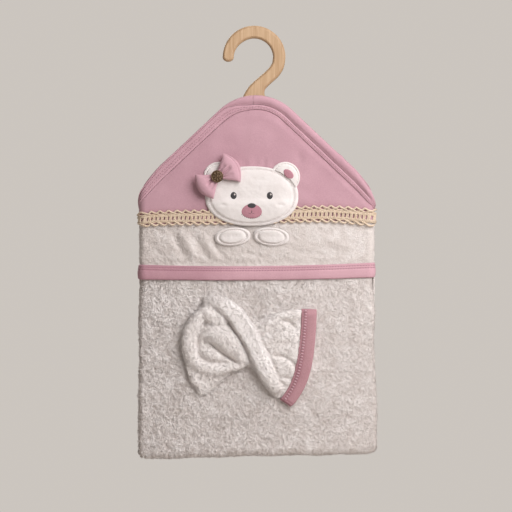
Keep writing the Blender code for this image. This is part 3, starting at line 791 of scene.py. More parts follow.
def make_hidden_layers():
    """The corners and edges folded in between front and back: three lips of terry round the sides."""
    clear = 0.0014
    inner_fold = HALF_DEPTH_BOTTOM - TERRY - clear
    below = FRONT_LENGTH + inner_fold * np.array([0.3, 0.55, 0.75, 0.9, 0.98])
    drops = np.concatenate([np.linspace(0.0915, 0.24, 60), np.linspace(0.243, FRONT_LENGTH, 130), below])
    angle = turns(96)
    wave = np.cos(angle)
    square = squared(wave, 0.12)
    rings = []
    for drop in drops:
        depth = HALF_DEPTH_TOP + (HALF_DEPTH_BOTTOM - HALF_DEPTH_TOP) * min(drop / FRONT_LENGTH, 1)
        depth -= TERRY + clear
        if drop > FRONT_LENGTH:
            depth = min(depth, sqrt(max(inner_fold ** 2 - (drop - FRONT_LENGTH) ** 2, 1e-8)))
        allowance = HOOD_ALLOWANCE * (1 - ease(drop, 0.40, 0.47))
        half = HALF_WIDTH - 0.0012 - allowance - 0.009 * ease(drop, 0.575, 0.604)
        half = min(half, slope_reach(drop, 0.006))
        y = depth * np.sin(angle)
        down = np.full(len(angle), drop)
        lips = 0.0016 * np.abs(np.cos(1.5 * pi * y / max(depth, 1e-4))) * (np.abs(wave) > 0.2)
        wobble = noise(down, y + (square > 0) * 0.5, 0.012, 21) * 0.0005
        rough = noise(down, y, 0.0025, 22) * 0.0004
        x = square * (half - 0.0012) + np.sign(square) * (lips + wobble + rough) * (half > 0.02)
        wider, lower = hang(CENTRE_X + x, drop)
        rings.append(np.stack([CENTRE_X + x + wider, y, -drop - lower], axis=-1))
    layers = solid("folded_layers", rings)
    # painted shade: the layers folded in between the front and the back are a little darker
    attribute(layers.data, "shade", np.full(len(layers.data.vertices), 0.15))
    dress(layers, TERRY_WHITE, ["hidden_layers"])


# ------------------------------------------------------------------ hood

def puckers(x, drop):
    """Small pulls in the pink cloth round the sewn-on bear and along its seams."""
    aside, down = x - BEAR_X, drop - HEAD_DROP
    rays = np.sin(np.arctan2(down, aside) * 17 + noise(x, drop, 0.03, 31) * 2.5)
    near_bear = bell(np.hypot(aside / HEAD_HALF[0], down / HEAD_HALF[1]) - 1.12, 0.16)
    gathers = np.sin((x * 1.4 + drop) / 0.0052 + noise(x, drop, 0.02, 32) * 2)
    return near_bear * rays * 0.00045 + bell(drop - ridge_line(x), 0.006) * gathers * 0.0003


def hood_top_lift(x, drop, share):
    crown = ease(drop - ridge_line(x), 0.0, 0.012)
    dimple = 0.0014 * bell(x - 0.068, 0.006, drop - 0.176, 0.009)
    broad = noise(x, drop, 0.035, 33) * 0.0007 + noise(x, drop, 0.016, 34) * 0.0003
    pulled = 0.00064 * bell(drop - lace_drop(x, 0), 0.004)
    return HOOD_LIFT - 0.0008 + crown * 0.0008 + broad * crown + puckers(x, drop) - dimple - pulled


def strip_lift(x, drop, share):
    diagonal = sum(crease(x, drop, ends, width) * depth for ends, width, depth in STRIP_CREASES)
    diagonal = diagonal * (1 - ease(drop, 0.318, 0.332)) - 0.0012 * ease(drop, 0.322, 0.334)
    return HOOD_LIFT - 0.0008 + pile(x, drop, 0.6) + soft_swell(x, drop) * 0.7 + diagonal * 0.85


STRIP_CREASES = (  # ends as (x, drop), half width and height
    (((-0.124, 0.284), (-0.100, 0.334)), 0.0050, -0.0026),
    (((-0.110, 0.282), (-0.083, 0.334)), 0.0055, 0.0026),
    (((-0.092, 0.290), (-0.064, 0.334)), 0.0050, -0.0022),
    (((-0.082, 0.284), (-0.050, 0.334)), 0.0055, 0.0022),
    (((-0.066, 0.300), (-0.036, 0.334)), 0.0045, -0.0018),
    (((-0.160, 0.296), (-0.132, 0.330)), 0.0060, -0.0016),
    (((-0.020, 0.316), (0.030, 0.328)), 0.0040, -0.0012),
    (((0.050, 0.312), (0.110, 0.322)), 0.0050, -0.0010),
    (((0.095, 0.290), (0.150, 0.312)), 0.0060, 0.0010),
)


def gathered(x, drop):
    """Fine uneven gathers of a binding."""
    return noise(x, drop * 0.6, 0.006, 41) * 0.00018 + noise(x, drop, 0.0028, 42) * 0.0001


def binding_lift(high, edge, rows=()):
    """A binding that is round across, with a shallow ditch along each row of stitches."""
    def lift(x, drop, share):
        rounded = edge + (high - edge) * np.sqrt(np.clip(1 - (2 * share - 1) ** 2, 0, 1)) ** 0.8
        return rounded - 0.0007 * ditches(share, rows) + gathered(x, drop)
    return lift


def ditches(share, rows):
    return sum((bell(share - row, 0.055) for row in rows), np.zeros(np.shape(share)))


def ditch_shade(rows, edges=0.0, dark=0.9):
    """Painted shade in the ditches along the rows of stitches and, by edges, along both rims."""
    def shade(x, drop, share):
        return -0.15 + dark * ditches(share, rows) + edges * (bell(share, 0.06) + bell(1 - share, 0.06))
    return shade


def stitched(name, x, drop, lift, thread, length=0.0030, gap=0.0013, thick=0.0012, crosswise=0.0,
             closed=False):
    """A row of stitches along the flat path x, drop at this lift, or across it if crosswise is a length."""
    points = fold(x, drop, lift)
    run = np.concatenate([[0], np.cumsum(np.linalg.norm(np.diff(points, axis=0), axis=1))])
    first, last = (0, run[-1] - gap) if closed else (length, run[-1] - length)
    at = np.arange(first, last, length + gap)
    lift = np.broadcast_to(lift, len(run))
    x, drop, lift = (np.interp(at, run, values) for values in (x, drop, lift))
    out, _ = normals_at(x, drop, lift)
    along = unit(np.gradient(fold(x, drop, lift), axis=0))
    if crosswise:
        along, length = np.cross(out, along), crosswise
    row = scattered(name, STITCH, fold(x, drop, lift), out, along, (length, thick, thick))
    dress(row, thread)


BAND_ROWS, TAPE_ROWS, BACK_ROW = (0.17, 0.33), (0.40, 0.66), 0.3  # stitches, as shares down each binding


def make_hood():
    """The pink panel above the lace, the terry strip below it and the band along the hood's opening."""
    top = cloth("hood_pink_panel", across(0.0025), np.linspace(0, 1, 90),
                between(lambda x: ridge_line(x, 0.0002), curve(HOOD_SEAM)), hood_top_lift, 0.0024)
    dress(top, PINK, ["hood_top_panel"])
    strip = cloth("hood_terry", across(0.0018), np.linspace(0, 1, 46),
                  between(curve(HOOD_SEAM), curve(BAND_TOP, 0.003)), strip_lift, 0.0022, painted_strip_shade)
    dress(strip, TERRY_WHITE, ["hood_terry_strip"])
    lift, row_shade = binding_lift(0.0054, 0.0024, BAND_ROWS), ditch_shade(BAND_ROWS, 0.6, 0.45)

    def band_shade(x, drop, share):
        # painted shade that grows towards the band's left end, on a band made a little lighter overall
        return row_shade(x, drop, share) - 0.2 + 0.65 * ease(-x, 0.02, 0.12)

    band = cloth("hood_band", across(0.0025), np.linspace(0, 1, 37),
                 between(curve(BAND_TOP), curve(BAND_BOTTOM)), lift, 0.0020, band_shade)
    dress(band, BINDING, ["hood_opening_band"])
    x = across(0.003)
    for number, share in enumerate(BAND_ROWS):
        drop = through(BAND_TOP, x) * (1 - share) + through(BAND_BOTTOM, x) * share
        stitched(f"band_stitches_{number}", x, drop, lift(x, drop, share), DEEP_PINK_THREAD,
                 length=0.0022, gap=0.0019, thick=0.0011)


# ------------------------------------------------------------------ bindings

LUMPS = ((0.1318, 0.0016), (0.1520, 0.0014))  # x and height of small lumps in the roll's outline


def roll_edge(x):
    return outline_drop(x, 0) - sum(high * bell(x - at, 0.0035) for at, high in LUMPS)


def roll_lift(x, drop, share):
    """Round across, and not below the tape's height at its inner edge."""
    rounded = binding_lift(BINDING_LIFT, -0.0022)(x, drop, share)
    low = 0.0030 - 0.0008 * ease(x, -0.05, 0.01)
    return np.where(share > 0.5, np.maximum(rounded, low + (BINDING_LIFT - low) * (1 - share)), rounded)


def back_line(inset):
    return lambda x: WHOLE_LENGTH - outline_drop(x, inset)


def make_bindings():
    """The outer roll on both slopes, with a butt seam at the top, and the binding of the back."""
    join = (JOIN_X - CENTRE_X) / REACH
    rows = np.linspace(0, 1, 15)
    lift = binding_lift(0.0016, -0.0022, (BACK_ROW,))
    for word, columns, x, flat in (
            ("left", across(0.003, last=join - 0.0008), across(0.003, last=-0.001), (0.245, 0.014)),
            ("right", across(0.003, first=join + 0.0008), across(0.003, first=0.001), (0.26, 0.019))):
        roll = cloth("edge_roll_" + word, columns, rows, between(roll_edge, roll_line), roll_lift, 0.0012)
        dress(roll, PINK, ["edge_binding_" + word])
        rim = cloth("back_edge_" + word, x, rows, between(back_line(BACK_BINDING), back_line(0)), lift,
                    0.0012, ditch_shade((BACK_ROW,)))
        dress(rim, PINK, ["back_binding_" + word])
        drop = back_line(BACK_BINDING * (1 - BACK_ROW))(x)
        stitched("back_edge_stitches_" + word, x, drop, lift(x, drop, BACK_ROW), PINK_THREAD)


def tape_lift(x, drop, share):
    """Round across, with a sharp seam inside and only a shallow groove against the roll."""
    groove, seam, high = 0.0031 - 0.0006 * ease(x, -0.05, 0.01), 0.0016, BINDING_LIFT - 0.0006
    rise, fall = 0.35, 0.62
    outer_side = groove + (high - groove) * np.sin(0.5 * pi * np.clip(share / rise, 0, 1)) ** 0.8
    inner_side = seam + (high - seam) * np.sqrt(np.clip(1 - ((share - fall) / (1 - fall)) ** 2, 0, 1))
    rounded = np.where(share < rise, outer_side, np.where(share > fall, inner_side, high))
    return rounded - 0.0006 * ditches(share, TAPE_ROWS) + gathered(x, drop)


def make_edge_tape():
    """The flat stitched tape beside the roll, over both slopes."""
    tape = cloth("hood_edge_tape", across(0.0025), np.linspace(0, 1, 33),
                 between(lambda x: roll_line(x, 0.0003), ridge_line), tape_lift, 0.0016,
                 ditch_shade(TAPE_ROWS))
    dress(tape, PINK, ["hood_edge_band"])
    x = across(0.003, -0.94, 0.94)
    for number, share in enumerate(TAPE_ROWS):
        drop = roll_line(x, 0.0003) * (1 - share) + ridge_line(x) * share
        stitched(f"edge_stitches_{number}", x, drop, tape_lift(x, drop, share), PINK_THREAD)


# ------------------------------------------------------------------ lace

def make_lace():
    """A gimp braid: a scalloped cord along its top, a ladder of bars between twists, and scallops below."""
    wave, bar_step, ply = 0.0128, 0.0063, 0.0034
    half = REACH - 0.0018
    left, right = CENTRE_X - half, CENTRE_X + half
    x = np.arange(left, right, 0.0009)
    phase = 2 * pi * x / wave
    base = HOOD_LIFT + 0.0012
    cords = []

    def cord(x, drop, lift, radius, sides=5, flatten=1.0):
        lift = np.broadcast_to(base + lift, len(x))
        cords.append(skin("cord", cord_rings(x, drop, lift, radius, sides, flatten)))

    top = lace_drop(x, 0) - 0.0002 - 0.0015 * np.cos(phase) - 0.0003 * np.cos(2 * phase + 1)
    cord(x, top, 0.0008, 0.00135, 6)
    cord(x, lace_drop(x, 0.135) + 0.0008 * np.cos(phase), 0.0001, 0.00125)
    cord(x, lace_drop(x, 0.21) + 0.0003 * np.cos(2 * phase), -0.0001, 0.0010)
    for share in (0.27, 0.33, 0.68, 0.735):
        for start in (0, pi):
            twist = 2 * pi * x / ply + start
            drop = lace_drop(x, share) + 0.0004 * np.cos(twist)
            cord(x, drop, 0.0002 + 0.0004 * np.sin(twist), 0.00082)
    cord(x, lace_drop(x, 0.80) + 0.0003 * np.cos(phase), -0.0002, 0.0011)
    run = np.linspace(0.28, 0.74, 6)
    for bar in np.arange(left + 0.0035, right - 0.002, bar_step):
        line = np.full(6, bar)
        for offset in (-0.00100, 0.00100):
            bent = line + offset + 0.0005 * np.sin(run * 8 - 1)
            cord(bent, lace_drop(line, run), 0.0002, 0.00118, 6, 0.8)
    run = np.linspace(0, 1, 12)
    for start in np.arange(left + 0.001, right - wave, wave):
        line = start + run * wave * 1.30
        drop = lace_drop(line, 1) - 0.0034 + 0.0042 * ease(run, 0.1, 0.7) - 0.0022 * ease(run, 0.75, 1.0)
        radius = 0.00155 * np.sin(pi * (0.08 + 0.84 * run)) ** 0.5
        cord(line, drop, 0.0003 + 0.0009 * np.sin(pi * run), radius, 6)
    dress(joined("lace_braid", cords), LACE, ["lace_trim"])


# ------------------------------------------------------------------ bear

BEAR_X, HEAD_DROP = -0.0035, 0.2335
HEAD_HALF, HEAD_ROUNDNESS = (0.0700, 0.0440), 2.2
EAR_ASIDE, EAR_DROP, EAR_RADIUS = 0.0500, 0.2055, 0.0225
PAW_ASIDE, PAW_DROP, PAW_HALF = 0.0290, 0.2930, (0.0270, 0.0135)
PAW_ROUNDNESS, PAW_TURN = 2.2, radians(5)
EYE_ASIDE, EYE_DROP = 0.0270, 0.2330
MUZZLE_DROP = 0.2540


def patch_base(drop):
    """What a sewn-on piece lies on: the hood's cloth, or the lace across it."""
    return HOOD_LIFT + 0.0021 * ease(drop, 0.235, 0.247) * (1 - ease(drop, 0.284, 0.294))


def oval(angle, centre, half_sizes, roundness, turn, share=1.0):
    """Flat places at these angles round an oval, or at a share of the way out to it."""
    wide, tall = np.cos(angle), np.sin(angle)
    reach = (np.abs(wide) ** roundness + np.abs(tall) ** roundness) ** (-1 / roundness) * share
    x, drop = half_sizes[0] * reach * wide, half_sizes[1] * reach * tall
    return centre[0] + x * cos(turn) - drop * sin(turn), centre[1] + x * sin(turn) + drop * cos(turn)


def stuffed(name, centre, half_sizes, thick, base=0.0, roundness=2.0, turn=0.0, seam=0.0, around=96,
            dents=None, outside=None):
    """A padded patch: a rounded form with its rim on the cloth and, at seam from its rim, a sewn ditch."""
    under = [(share, 0.0) for share in (*np.linspace(0.0, 0.9, 6), *np.linspace(0.93, 1.0, 4))]
    over = [(share, (1 - share ** 3.2) ** 0.5) for share in np.linspace(0.995, 0.02, 40)]
    angle = turns(around)
    rings = []
    for share, height in under + over:
        x, drop = oval(angle, centre, half_sizes, roundness, turn, max(share, 0.004))
        if outside:
            x, drop = outside(x, drop)
        lift = patch_base(drop) + base + thick * height
        if height > 0.05:
            if seam:
                from_seam = (1 - share) * min(half_sizes) - seam
                lift -= thick * 0.30 * bell(from_seam, 0.0011)
                lift += thick * 0.04 * np.sin(angle * around * 0.25) * bell(from_seam, 0.002)
            lift += noise(x, drop, 0.006, 51) * 0.0002 + noise(x, drop, 0.0025, 52) * 0.00013
            if dents:
                lift += dents(x, drop)
        rings.append(fold(x, drop, lift))
    return solid(name, rings)


def off_head(x, drop):
    """Moves places inside the head's outline out to it, so that an ear stops at the head."""
    dx, dd = (x - BEAR_X) / HEAD_HALF[0], (drop - HEAD_DROP) / HEAD_HALF[1]
    share = (np.abs(dx) ** HEAD_ROUNDNESS + np.abs(dd) ** HEAD_ROUNDNESS) ** (1 / HEAD_ROUNDNESS)
    scale = np.where(share < 0.97, 0.97 / np.maximum(share, 1e-3), 1)
    return BEAR_X + (x - BEAR_X) * scale, HEAD_DROP + (drop - HEAD_DROP) * scale


FACE_DENTS = (  # aside and drop, half width and half height, height: cheek, dimple and eye socket
    (0.038, 0.247, 0.016, 0.012, 0.0011), (0.043, 0.2465, 0.0055, 0.0022, -0.0014),
    (0.027, 0.233, 0.009, 0.009, -0.0009),
)


def face_dents(x, drop):
    """Two soft cheeks with a small dimple each, and sockets for the eyes."""
    return sum(high * bell(x - BEAR_X - side * aside, wide, drop - at, tall)
               for side in (-1, 1) for aside, at, wide, tall, high in FACE_DENTS)


def oval_stitches(name, drop, half_sizes, lift, thread, aside=0.0, turn=0.0, roundness=2.0,
                  length=0.0022, gap=0.0008, thick=0.0006, crosswise=0.0):
    """Stitches round an oval on the bear, along it or across it like a blanket stitch."""
    x, drop = oval(np.linspace(0, 2 * pi, 400), (BEAR_X + aside, drop), half_sizes, roundness, turn)
    stitched(name, x, drop, patch_base(drop) + lift, thread, length, gap, thick, crosswise, closed=True)


def pad(name, aside, drop, half_sizes, thick, material, slot, stands_for=(), padded=None, **more):
    """One sewn-on pad of the bear."""
    dress(stuffed(name, (BEAR_X + aside, drop), half_sizes, thick, **more), material, stands_for)


def make_bear():
    pad("bear_face", 0, HEAD_DROP, HEAD_HALF, 0.0078, PLUSH, "plush", ["bear_head"], 0.5,
        roundness=HEAD_ROUNDNESS, seam=0.0042, around=160, dents=face_dents)
    for side, word in ((-1, "left"), (1, "right")):
        aside, eye, turn = side * PAW_ASIDE, side * EYE_ASIDE, side * PAW_TURN
        pad("bear_ear_pad_" + word, side * EAR_ASIDE, EAR_DROP, (EAR_RADIUS, EAR_RADIUS), 0.0050, PLUSH,
            "plush", ["bear_ear_" + word], 0.4, seam=0.0036, outside=off_head)
        pad("bear_paw_pad_" + word, aside, PAW_DROP, PAW_HALF, 0.0062, PLUSH, "plush", ["bear_paw_" + word],
            0.5, roundness=PAW_ROUNDNESS, turn=turn, seam=0.0034)
        pad("bear_eye_satin_" + word, eye, EYE_DROP, (0.0048, 0.0058), 0.0016, GREY_THREAD, "thread",
            ["bear_eye_" + word], base=0.0064, around=32)
        pad("bear_eye_glint_" + word, eye + 0.0014, EYE_DROP - 0.0018, (0.0012, 0.0014), 0.0006, WHITE_THREAD,
            "thread", base=0.0078, around=16)
        oval_stitches("paw_stitches_" + word, PAW_DROP, (PAW_HALF[0] - 0.0034, PAW_HALF[1] - 0.0034), 0.0040,
                      WHITE_THREAD, aside, turn, PAW_ROUNDNESS)
    pad("bear_inner_ear_patch", EAR_ASIDE + 0.0050, EAR_DROP - 0.0045, (0.0088, 0.0056), 0.0014, MUZZLE,
        "pink_felt", ["bear_inner_ear"], base=0.0046, turn=radians(40), around=40)
    pad("bear_muzzle_patch", 0, MUZZLE_DROP, (0.0185, 0.0125), 0.0026, MUZZLE, "pink_felt", ["bear_muzzle"],
        0.3, base=0.0056, around=72)
    pad("bear_nose_satin", 0, MUZZLE_DROP - 0.0065, (0.0062, 0.0036), 0.0014, GREY_THREAD, "thread",
        ["bear_nose"], base=0.0078, around=40)
    oval_stitches("muzzle_blanket_stitch", MUZZLE_DROP, (0.0178, 0.0118), 0.0068, GREY_THREAD,
                  length=0.0026, gap=0.0002, thick=0.0005, crosswise=0.0026)
    oval_stitches("head_stitches", HEAD_DROP, (HEAD_HALF[0] - 0.0055, HEAD_HALF[1] - 0.0043), 0.0044,
                  WHITE_THREAD, roundness=HEAD_ROUNDNESS)
    mouth = [(-0.0050, 0.0030), (-0.0030, 0.0048), (0.0, 0.0030), (0.0, 0.0000), (0.0, 0.0030),
             (0.0030, 0.0048), (0.0050, 0.0030)]
    x, drop = through_points(mouth, 60).T
    stitched("bear_mouth", BEAR_X + x, MUZZLE_DROP + 0.0005 + drop, patch_base(MUZZLE_DROP + drop) + 0.0084,
             GREY_THREAD, 0.0015, 0.0001, 0.0006)


# ------------------------------------------------------------------ bow and button

BOW_PLACE = (-0.0550, 0.2050)
BOW_LEFT_TURN, BOW_RIGHT_TURN = radians(142), radians(-31)
BOW_FAN = 0.28


BOW_STATIONS = (  # distance along the bow, half width and thickness in millimetres
    (-34.6, 19, 1.0), (-34.2, 21, 3.5), (-32.5, 22, 6.0), (-26, 19.5, 8.5), (-15, 13.5, 8.5), (-6, 8, 7.0),
    (0, 6.0, 6.5), (6, 8, 7.0), (15, 14, 9.0), (27, 20.5, 9.0), (34.5, 24.5, 6.5), (36.6, 23.5, 4.0),
    (37.2, 21.5, 1.0),
)
PLEATS = (  # start and end as (distance along the bow, place across from -1 to 1), half width, depth
    ((7, 0.10), (25, -0.12), 0.13, 0.0034), ((7, -0.55), (20, -0.50), 0.14, 0.0016),
    ((8, 0.62), (24, 0.50), 0.14, 0.0018), ((-7, -0.15), (-20, 0.06), 0.15, 0.0036),
    ((-8, 0.60), (-22, 0.48), 0.14, 0.0016), ((-8, -0.65), (-18, -0.55), 0.14, 0.0014),
)


def pleated(along, spread):
    """The pleats that run out from the bow's knot, at one distance along it, in metres."""
    folds = 0
    for (first, side_first), (last, side_last), wide, deep in PLEATS:
        share = (along - first) / (last - first)
        middle = side_first + (side_last - side_first) * np.clip(share, 0, 1.2)
        fade = ease(share, -0.35, 0.1) * (1 - ease(share, 0.7, 1.15))
        folds = folds - deep * fade * bell(spread - middle, wide)
    return folds


def make_bow():
    angle = turns(72)
    spread = np.cos(angle)
    front = np.clip(-np.sin(angle), 0, 1) ** 0.6
    over = 0.5 - 0.5 * squared(np.sin(angle), 0.8)
    rings = []
    for along, half_width, thick in through_points(BOW_STATIONS, 110):
        blend = ease(along, -5, 5)
        turn = (BOW_LEFT_TURN - pi) * (1 - blend) + BOW_RIGHT_TURN * blend
        across_bow = half_width * MM * spread
        out = along * MM * (1 - BOW_FAN * spread ** 2 * abs(along) / 36)
        x = BOW_PLACE[0] + out * cos(turn) - across_bow * sin(turn)
        drop = BOW_PLACE[1] + out * sin(turn) + across_bow * cos(turn)
        aside, down = np.abs(x - BEAR_X) / HEAD_HALF[0], np.abs(drop - HEAD_DROP) / HEAD_HALF[1]
        on_head = 0.0026 * (1 - ease((aside ** 2.2 + down ** 2.2) ** 0.45, 0.6, 1.0))
        folds = front * (pleated(along, spread) + 0.0012 * bell(abs(along) - 22, 9))
        hem = 0.0010 * bell(abs(along) - 33.2, 1.1) * front
        lift = patch_base(drop) + 0.0054 + on_head + thick * MM * over + folds - hem
        rings.append(fold(x, drop, lift + 0.0014 * ease(abs(along), 14, 34) * (along < 0)))
    bow = solid("bow_loops", rings)
    at = places(bow.data)
    flat_uv(bow.data, at[:, 0], at[:, 2])
    attribute(bow.data, "shade", np.full(len(at), -0.25))
    dress(bow, PINK, ["bow"])


def make_button():
    """A domed button pierced like a flower: a rim, a ring of petals and a middle."""
    low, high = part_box("bow_button")
    centre = Vector(((low.x + high.x) / 2, high.y - 0.0012, (low.z + high.z) / 2))
    radius = (high.x - low.x) / 2
    shape = bmesh.new()

    def ring(reach, thick, height, segments):
        verts = bmesh.ops.create_circle(shape, segments=8, radius=thick)["verts"]
        for vert in verts:
            vert.co = Vector((reach + vert.co.x, 0, height + vert.co.y))
        edges = list({edge for vert in verts for edge in vert.link_edges})
        bmesh.ops.spin(shape, geom=verts + edges, cent=(0, 0, 0), axis=(0, 0, 1), angle=2 * pi,
                       steps=segments, use_merge=True)

    def dome(segments, rings, long, wide, tall, height=0.0, reach=0.0, angle=0.0):
        """A flattened ball: long and wide as shares of the radius, reach from the middle at this angle."""
        ball = bmesh.ops.create_uvsphere(shape, u_segments=segments, v_segments=rings, radius=1)
        for vert in ball["verts"]:
            along, aside = vert.co.x * radius * long + radius * reach, vert.co.y * radius * wide
            vert.co = Vector((along * cos(angle) - aside * sin(angle),
                              along * sin(angle) + aside * cos(angle), vert.co.z * tall + height))

    dome(40, 10, 0.93, 0.93, 0.0012)
    ring(radius * 0.92, 0.0009, 0.0006, 48)
    ring(radius * 0.34, 0.0006, 0.0014, 28)
    for petal in range(8):
        dome(12, 8, 0.24, 0.15, 0.0010, 0.0012, 0.62, 2 * pi * petal / 8)
    dome(16, 8, 0.2, 0.2, 0.0012, 0.0014)
    for vert in shape.verts:
        x, y, z = vert.co
        vert.co = (centre.x + x, centre.y - z, centre.z + y)
    flower = made("bow_button_flower", meshed("bow_button_flower", shape, outward=True))
    dress(flower, BRONZE, ["bow_button"])


# ------------------------------------------------------------------ wash mitt

MITT_STATIONS = (  # millimetres: lower edge x and drop, upper edge x and drop, thickness, bulge
    (-106.5, 459, -106.5, 452, 2.5, 0),
    (-105, 466, -105, 443, 5, -1),
    (-99, 488, -99, 427, 7, -2),
    (-91, 508, -88, 407, 8, -1),
    (-80, 527, -73, 387, 8, 0),
    (-61, 519, -56, 381, 9, 0),
    (-43, 502, -37, 388, 9, 0),
    (-22, 485, -18, 404, 11, 0),
    (-3, 486, 2, 430, 12, 0),
    (12, 508, 17, 422, 11, 0),
    (24, 524, 36, 405, 11, 3),
    (33, 531, 53, 401, 10, 8),
    (40, 532, 67, 401, 8.5, 12),
    (46, 535, 76, 402, 6.5, 13),
)
MITT_ROLLS = (  # flatness, then in millimetres x, drop, lift of the middle and radius along each soft roll
    (0.75, ((-75, 390, 3.2, 4.5), (-65, 388, 5.5, 8.5), (-50, 391, 7.5, 11.5), (-28, 408, 9.5, 13.5),
            (-12, 432, 10.5, 13.5), (0, 455, 10.5, 12.5), (10.5, 479, 9.5, 12), (23, 502, 8, 11.5),
            (35, 520, 5.5, 9))),
    (0.70, ((-76, 398, 6, 8), (-68, 405, 7.5, 11), (-60, 412, 7.5, 12), (-50, 417, 7, 11), (-41, 421, 5, 8))),
    (0.50, ((-6, 424, 2, 5), (6, 424, 2.5, 7), (18, 416, 2, 6), (30, 408, 1.5, 5))),
    (0.55, ((-80, 438, 5, 9), (-68, 434, 6, 14), (-53, 436, 6.5, 18), (-39, 446, 6.5, 18),
            (-26, 459, 6.5, 14.5), (-15, 472, 6, 10), (-8, 480, 5, 6))),
    (0.75, ((-82, 452, 4, 6), (-78, 458, 4, 7.5), (-69, 463, 4.5, 8), (-58, 468, 5, 8), (-45, 474, 4.5, 6))),
    (0.70, ((-66, 400, 5.6, 8), (-80, 411, 7, 10), (-93, 433, 7, 11.5), (-95.5, 456, 7, 11),
            (-90, 474, 6.5, 10), (-76, 485, 6.5, 8.5), (-58, 489, 6.5, 8), (-42, 487, 6.5, 7.5),
            (-27, 483, 6, 6.5), (-16, 481, 5, 5))),
    (0.70, ((-96, 480, 4, 6), (-87, 502, 3, 8), (-77, 516, 2.5, 7))),
    (0.75, ((4, 438, 6, 6), (18, 426, 5.5, 8), (36, 413, 4.5, 9), (57, 408, 3.5, 8.5), (76, 407, 1, 7))),
    (0.75, ((10, 448, 6, 7), (26, 444, 3.5, 11), (46, 441, 2.5, 13), (76, 442, 0, 12))),
    (0.75, ((24, 472, 5.5, 6), (42, 480, 3, 10), (60, 488, 1.5, 11), (72, 492, 0, 10))),
    (0.75, ((36, 500, 4, 6), (50, 508, 2, 8), (58, 513, 1, 7))),
)
MITT_CREASES = (  # places (x, drop) along each crease, half width and depth
    (((-0.040, 0.417), (-0.034, 0.424), (-0.0225, 0.440), (-0.011, 0.460), (-0.005, 0.478)), 0.0026, 0.0038),
    (((-0.066, 0.449), (-0.052, 0.460), (-0.038, 0.470), (-0.022, 0.481)), 0.0024, 0.0046),
    (((-0.084, 0.460), (-0.079, 0.470), (-0.066, 0.4765), (-0.050, 0.478), (-0.034, 0.478)), 0.0028, 0.0028),
    (((-0.080, 0.462), (-0.0835, 0.450), (-0.080, 0.437), (-0.070, 0.424)), 0.0034, 0.0026),
    (((0.008, 0.438), (0.014, 0.452), (0.0235, 0.468), (0.031, 0.487), (0.039, 0.505), (0.050, 0.516)),
     0.0028, 0.0024),
    (((0.038, 0.4155), (0.047, 0.4165), (0.055, 0.421), (0.061, 0.428)), 0.0026, 0.0034),
    (((0.024, 0.467), (0.036, 0.468), (0.048, 0.471), (0.058, 0.479), (0.064, 0.488)), 0.0026, 0.0034),
    (((0.034, 0.501), (0.043, 0.4995), (0.052, 0.501), (0.060, 0.506)), 0.0024, 0.0028),
)
STRAND = ((-0.050, 0.391), (-0.029, 0.408), (-0.013, 0.432), (0.000, 0.455), (0.0105, 0.479), (0.023, 0.502))
VOXEL = 0.0014
LOOP_COUNT = 8000


def mitt_rings():
    """The flat bag under the rolls: rings over its crowned face and back along the cloth below."""
    face, under = 90, 26
    place_across = np.concatenate([np.linspace(1, -1, face), np.linspace(-1, 1, under + 2)[1:-1]])
    outer = np.arange(face + under) < face
    share = (1 + place_across) / 2
    crown = np.sqrt(np.clip(1 - np.abs(place_across) ** 3, 0, 1))
    rings = []
    for low_x, low_drop, high_x, high_drop, thick, bulge in through_points(MITT_STATIONS, 130):
        x = low_x + (high_x - low_x) * share + bulge * (1 - place_across ** 2)
        drop = low_drop + (high_drop - low_drop) * share
        height = np.where(outer, 1.6 + (thick - 1.6) * crown, 0.5)
        rings.append(fold(x * MM, drop * MM, height * MM))
    return np.array(rings)


def roll_rings(flatness, table):
    x, drop, lift, radius = through_points(table, 10 * len(table)).T * MM
    return cord_rings(x, drop, lift, radius, 24, flatness, 0.0004)


def towards_back(mesh, at, depth):
    """Moves each place of a mesh back by its own depth."""
    place(mesh, at + np.array([0, 1, 0]) * depth[:, None])


def grown_together(name, meshes):
    """One soft cloth grown over several meshes."""
    whole = joined(name, meshes)
    remesh = whole.modifiers.new("one cloth", "REMESH")
    remesh.mode = "VOXEL"
    remesh.voxel_size = VOXEL
    graph = bpy.context.evaluated_depsgraph_get()
    mesh = bpy.data.meshes.new_from_object(whole.evaluated_get(graph))
    whole.modifiers.clear()
    whole.data = mesh
    mesh.name = name
    return whole


def make_mitt():
    """The twisted mitt: its flat bag and its soft rolls, grown into one cloth and then creased."""
    rolls = [skin("roll", roll_rings(*roll)) for roll in MITT_ROLLS]
    mitt = grown_together("mitt_body", [skin("body", mitt_rings()), *rolls])
    mesh = mitt.data
    soften(mesh, 8)
    under_cuff(mesh)
    at, normal = places(mesh), normals_of(mesh)
    x, drop = at[:, 0], -at[:, 2]
    depth = np.max([near_line(x, drop, points, width) * deep for points, width, deep in MITT_CREASES], axis=0)
    towards_back(mesh, at, depth * np.clip(-normal[:, 1] + 0.2, 0, 1))
    soften(mesh, 2)
    at, normal = places(mesh), normals_of(mesh)
    height = pile(at[:, 0] + at[:, 1], -at[:, 2], 0.6) * np.clip(-normal[:, 1] + 0.6, 0, 1)
    place(mesh, at + normal * height[:, None])
    # painted light along the top of the twisted strand; painted light on raised clumps and painted shade
    # between them and in the creases
    strand_highlight = near_line(at[:, 0], -at[:, 2], STRAND, 0.012)
    attribute(mesh, "shade", -0.15 - painted_clump_light(height) + 0.3 * depth / 0.005 - 0.6 * strand_highlight)
    mesh.shade_smooth()
    dress(mitt, TERRY_WHITE, ["wash_mitt"])
    at, normal = places(mesh), normals_of(mesh)
    outer = np.flatnonzero(normal[:, 1] < 0.35)
    picked = np.random.default_rng(81).permutation(outer)[:LOOP_COUNT]
    at, out = at[picked], normal[picked]
    # the loops get the strand's painted light too
    standing("mitt_loops", at - out * 0.0003, out, np.cross(out, (1.0, 0.05, 0.0)), 0.0019, 82,
             -0.25 - 0.5 * strand_highlight[picked])


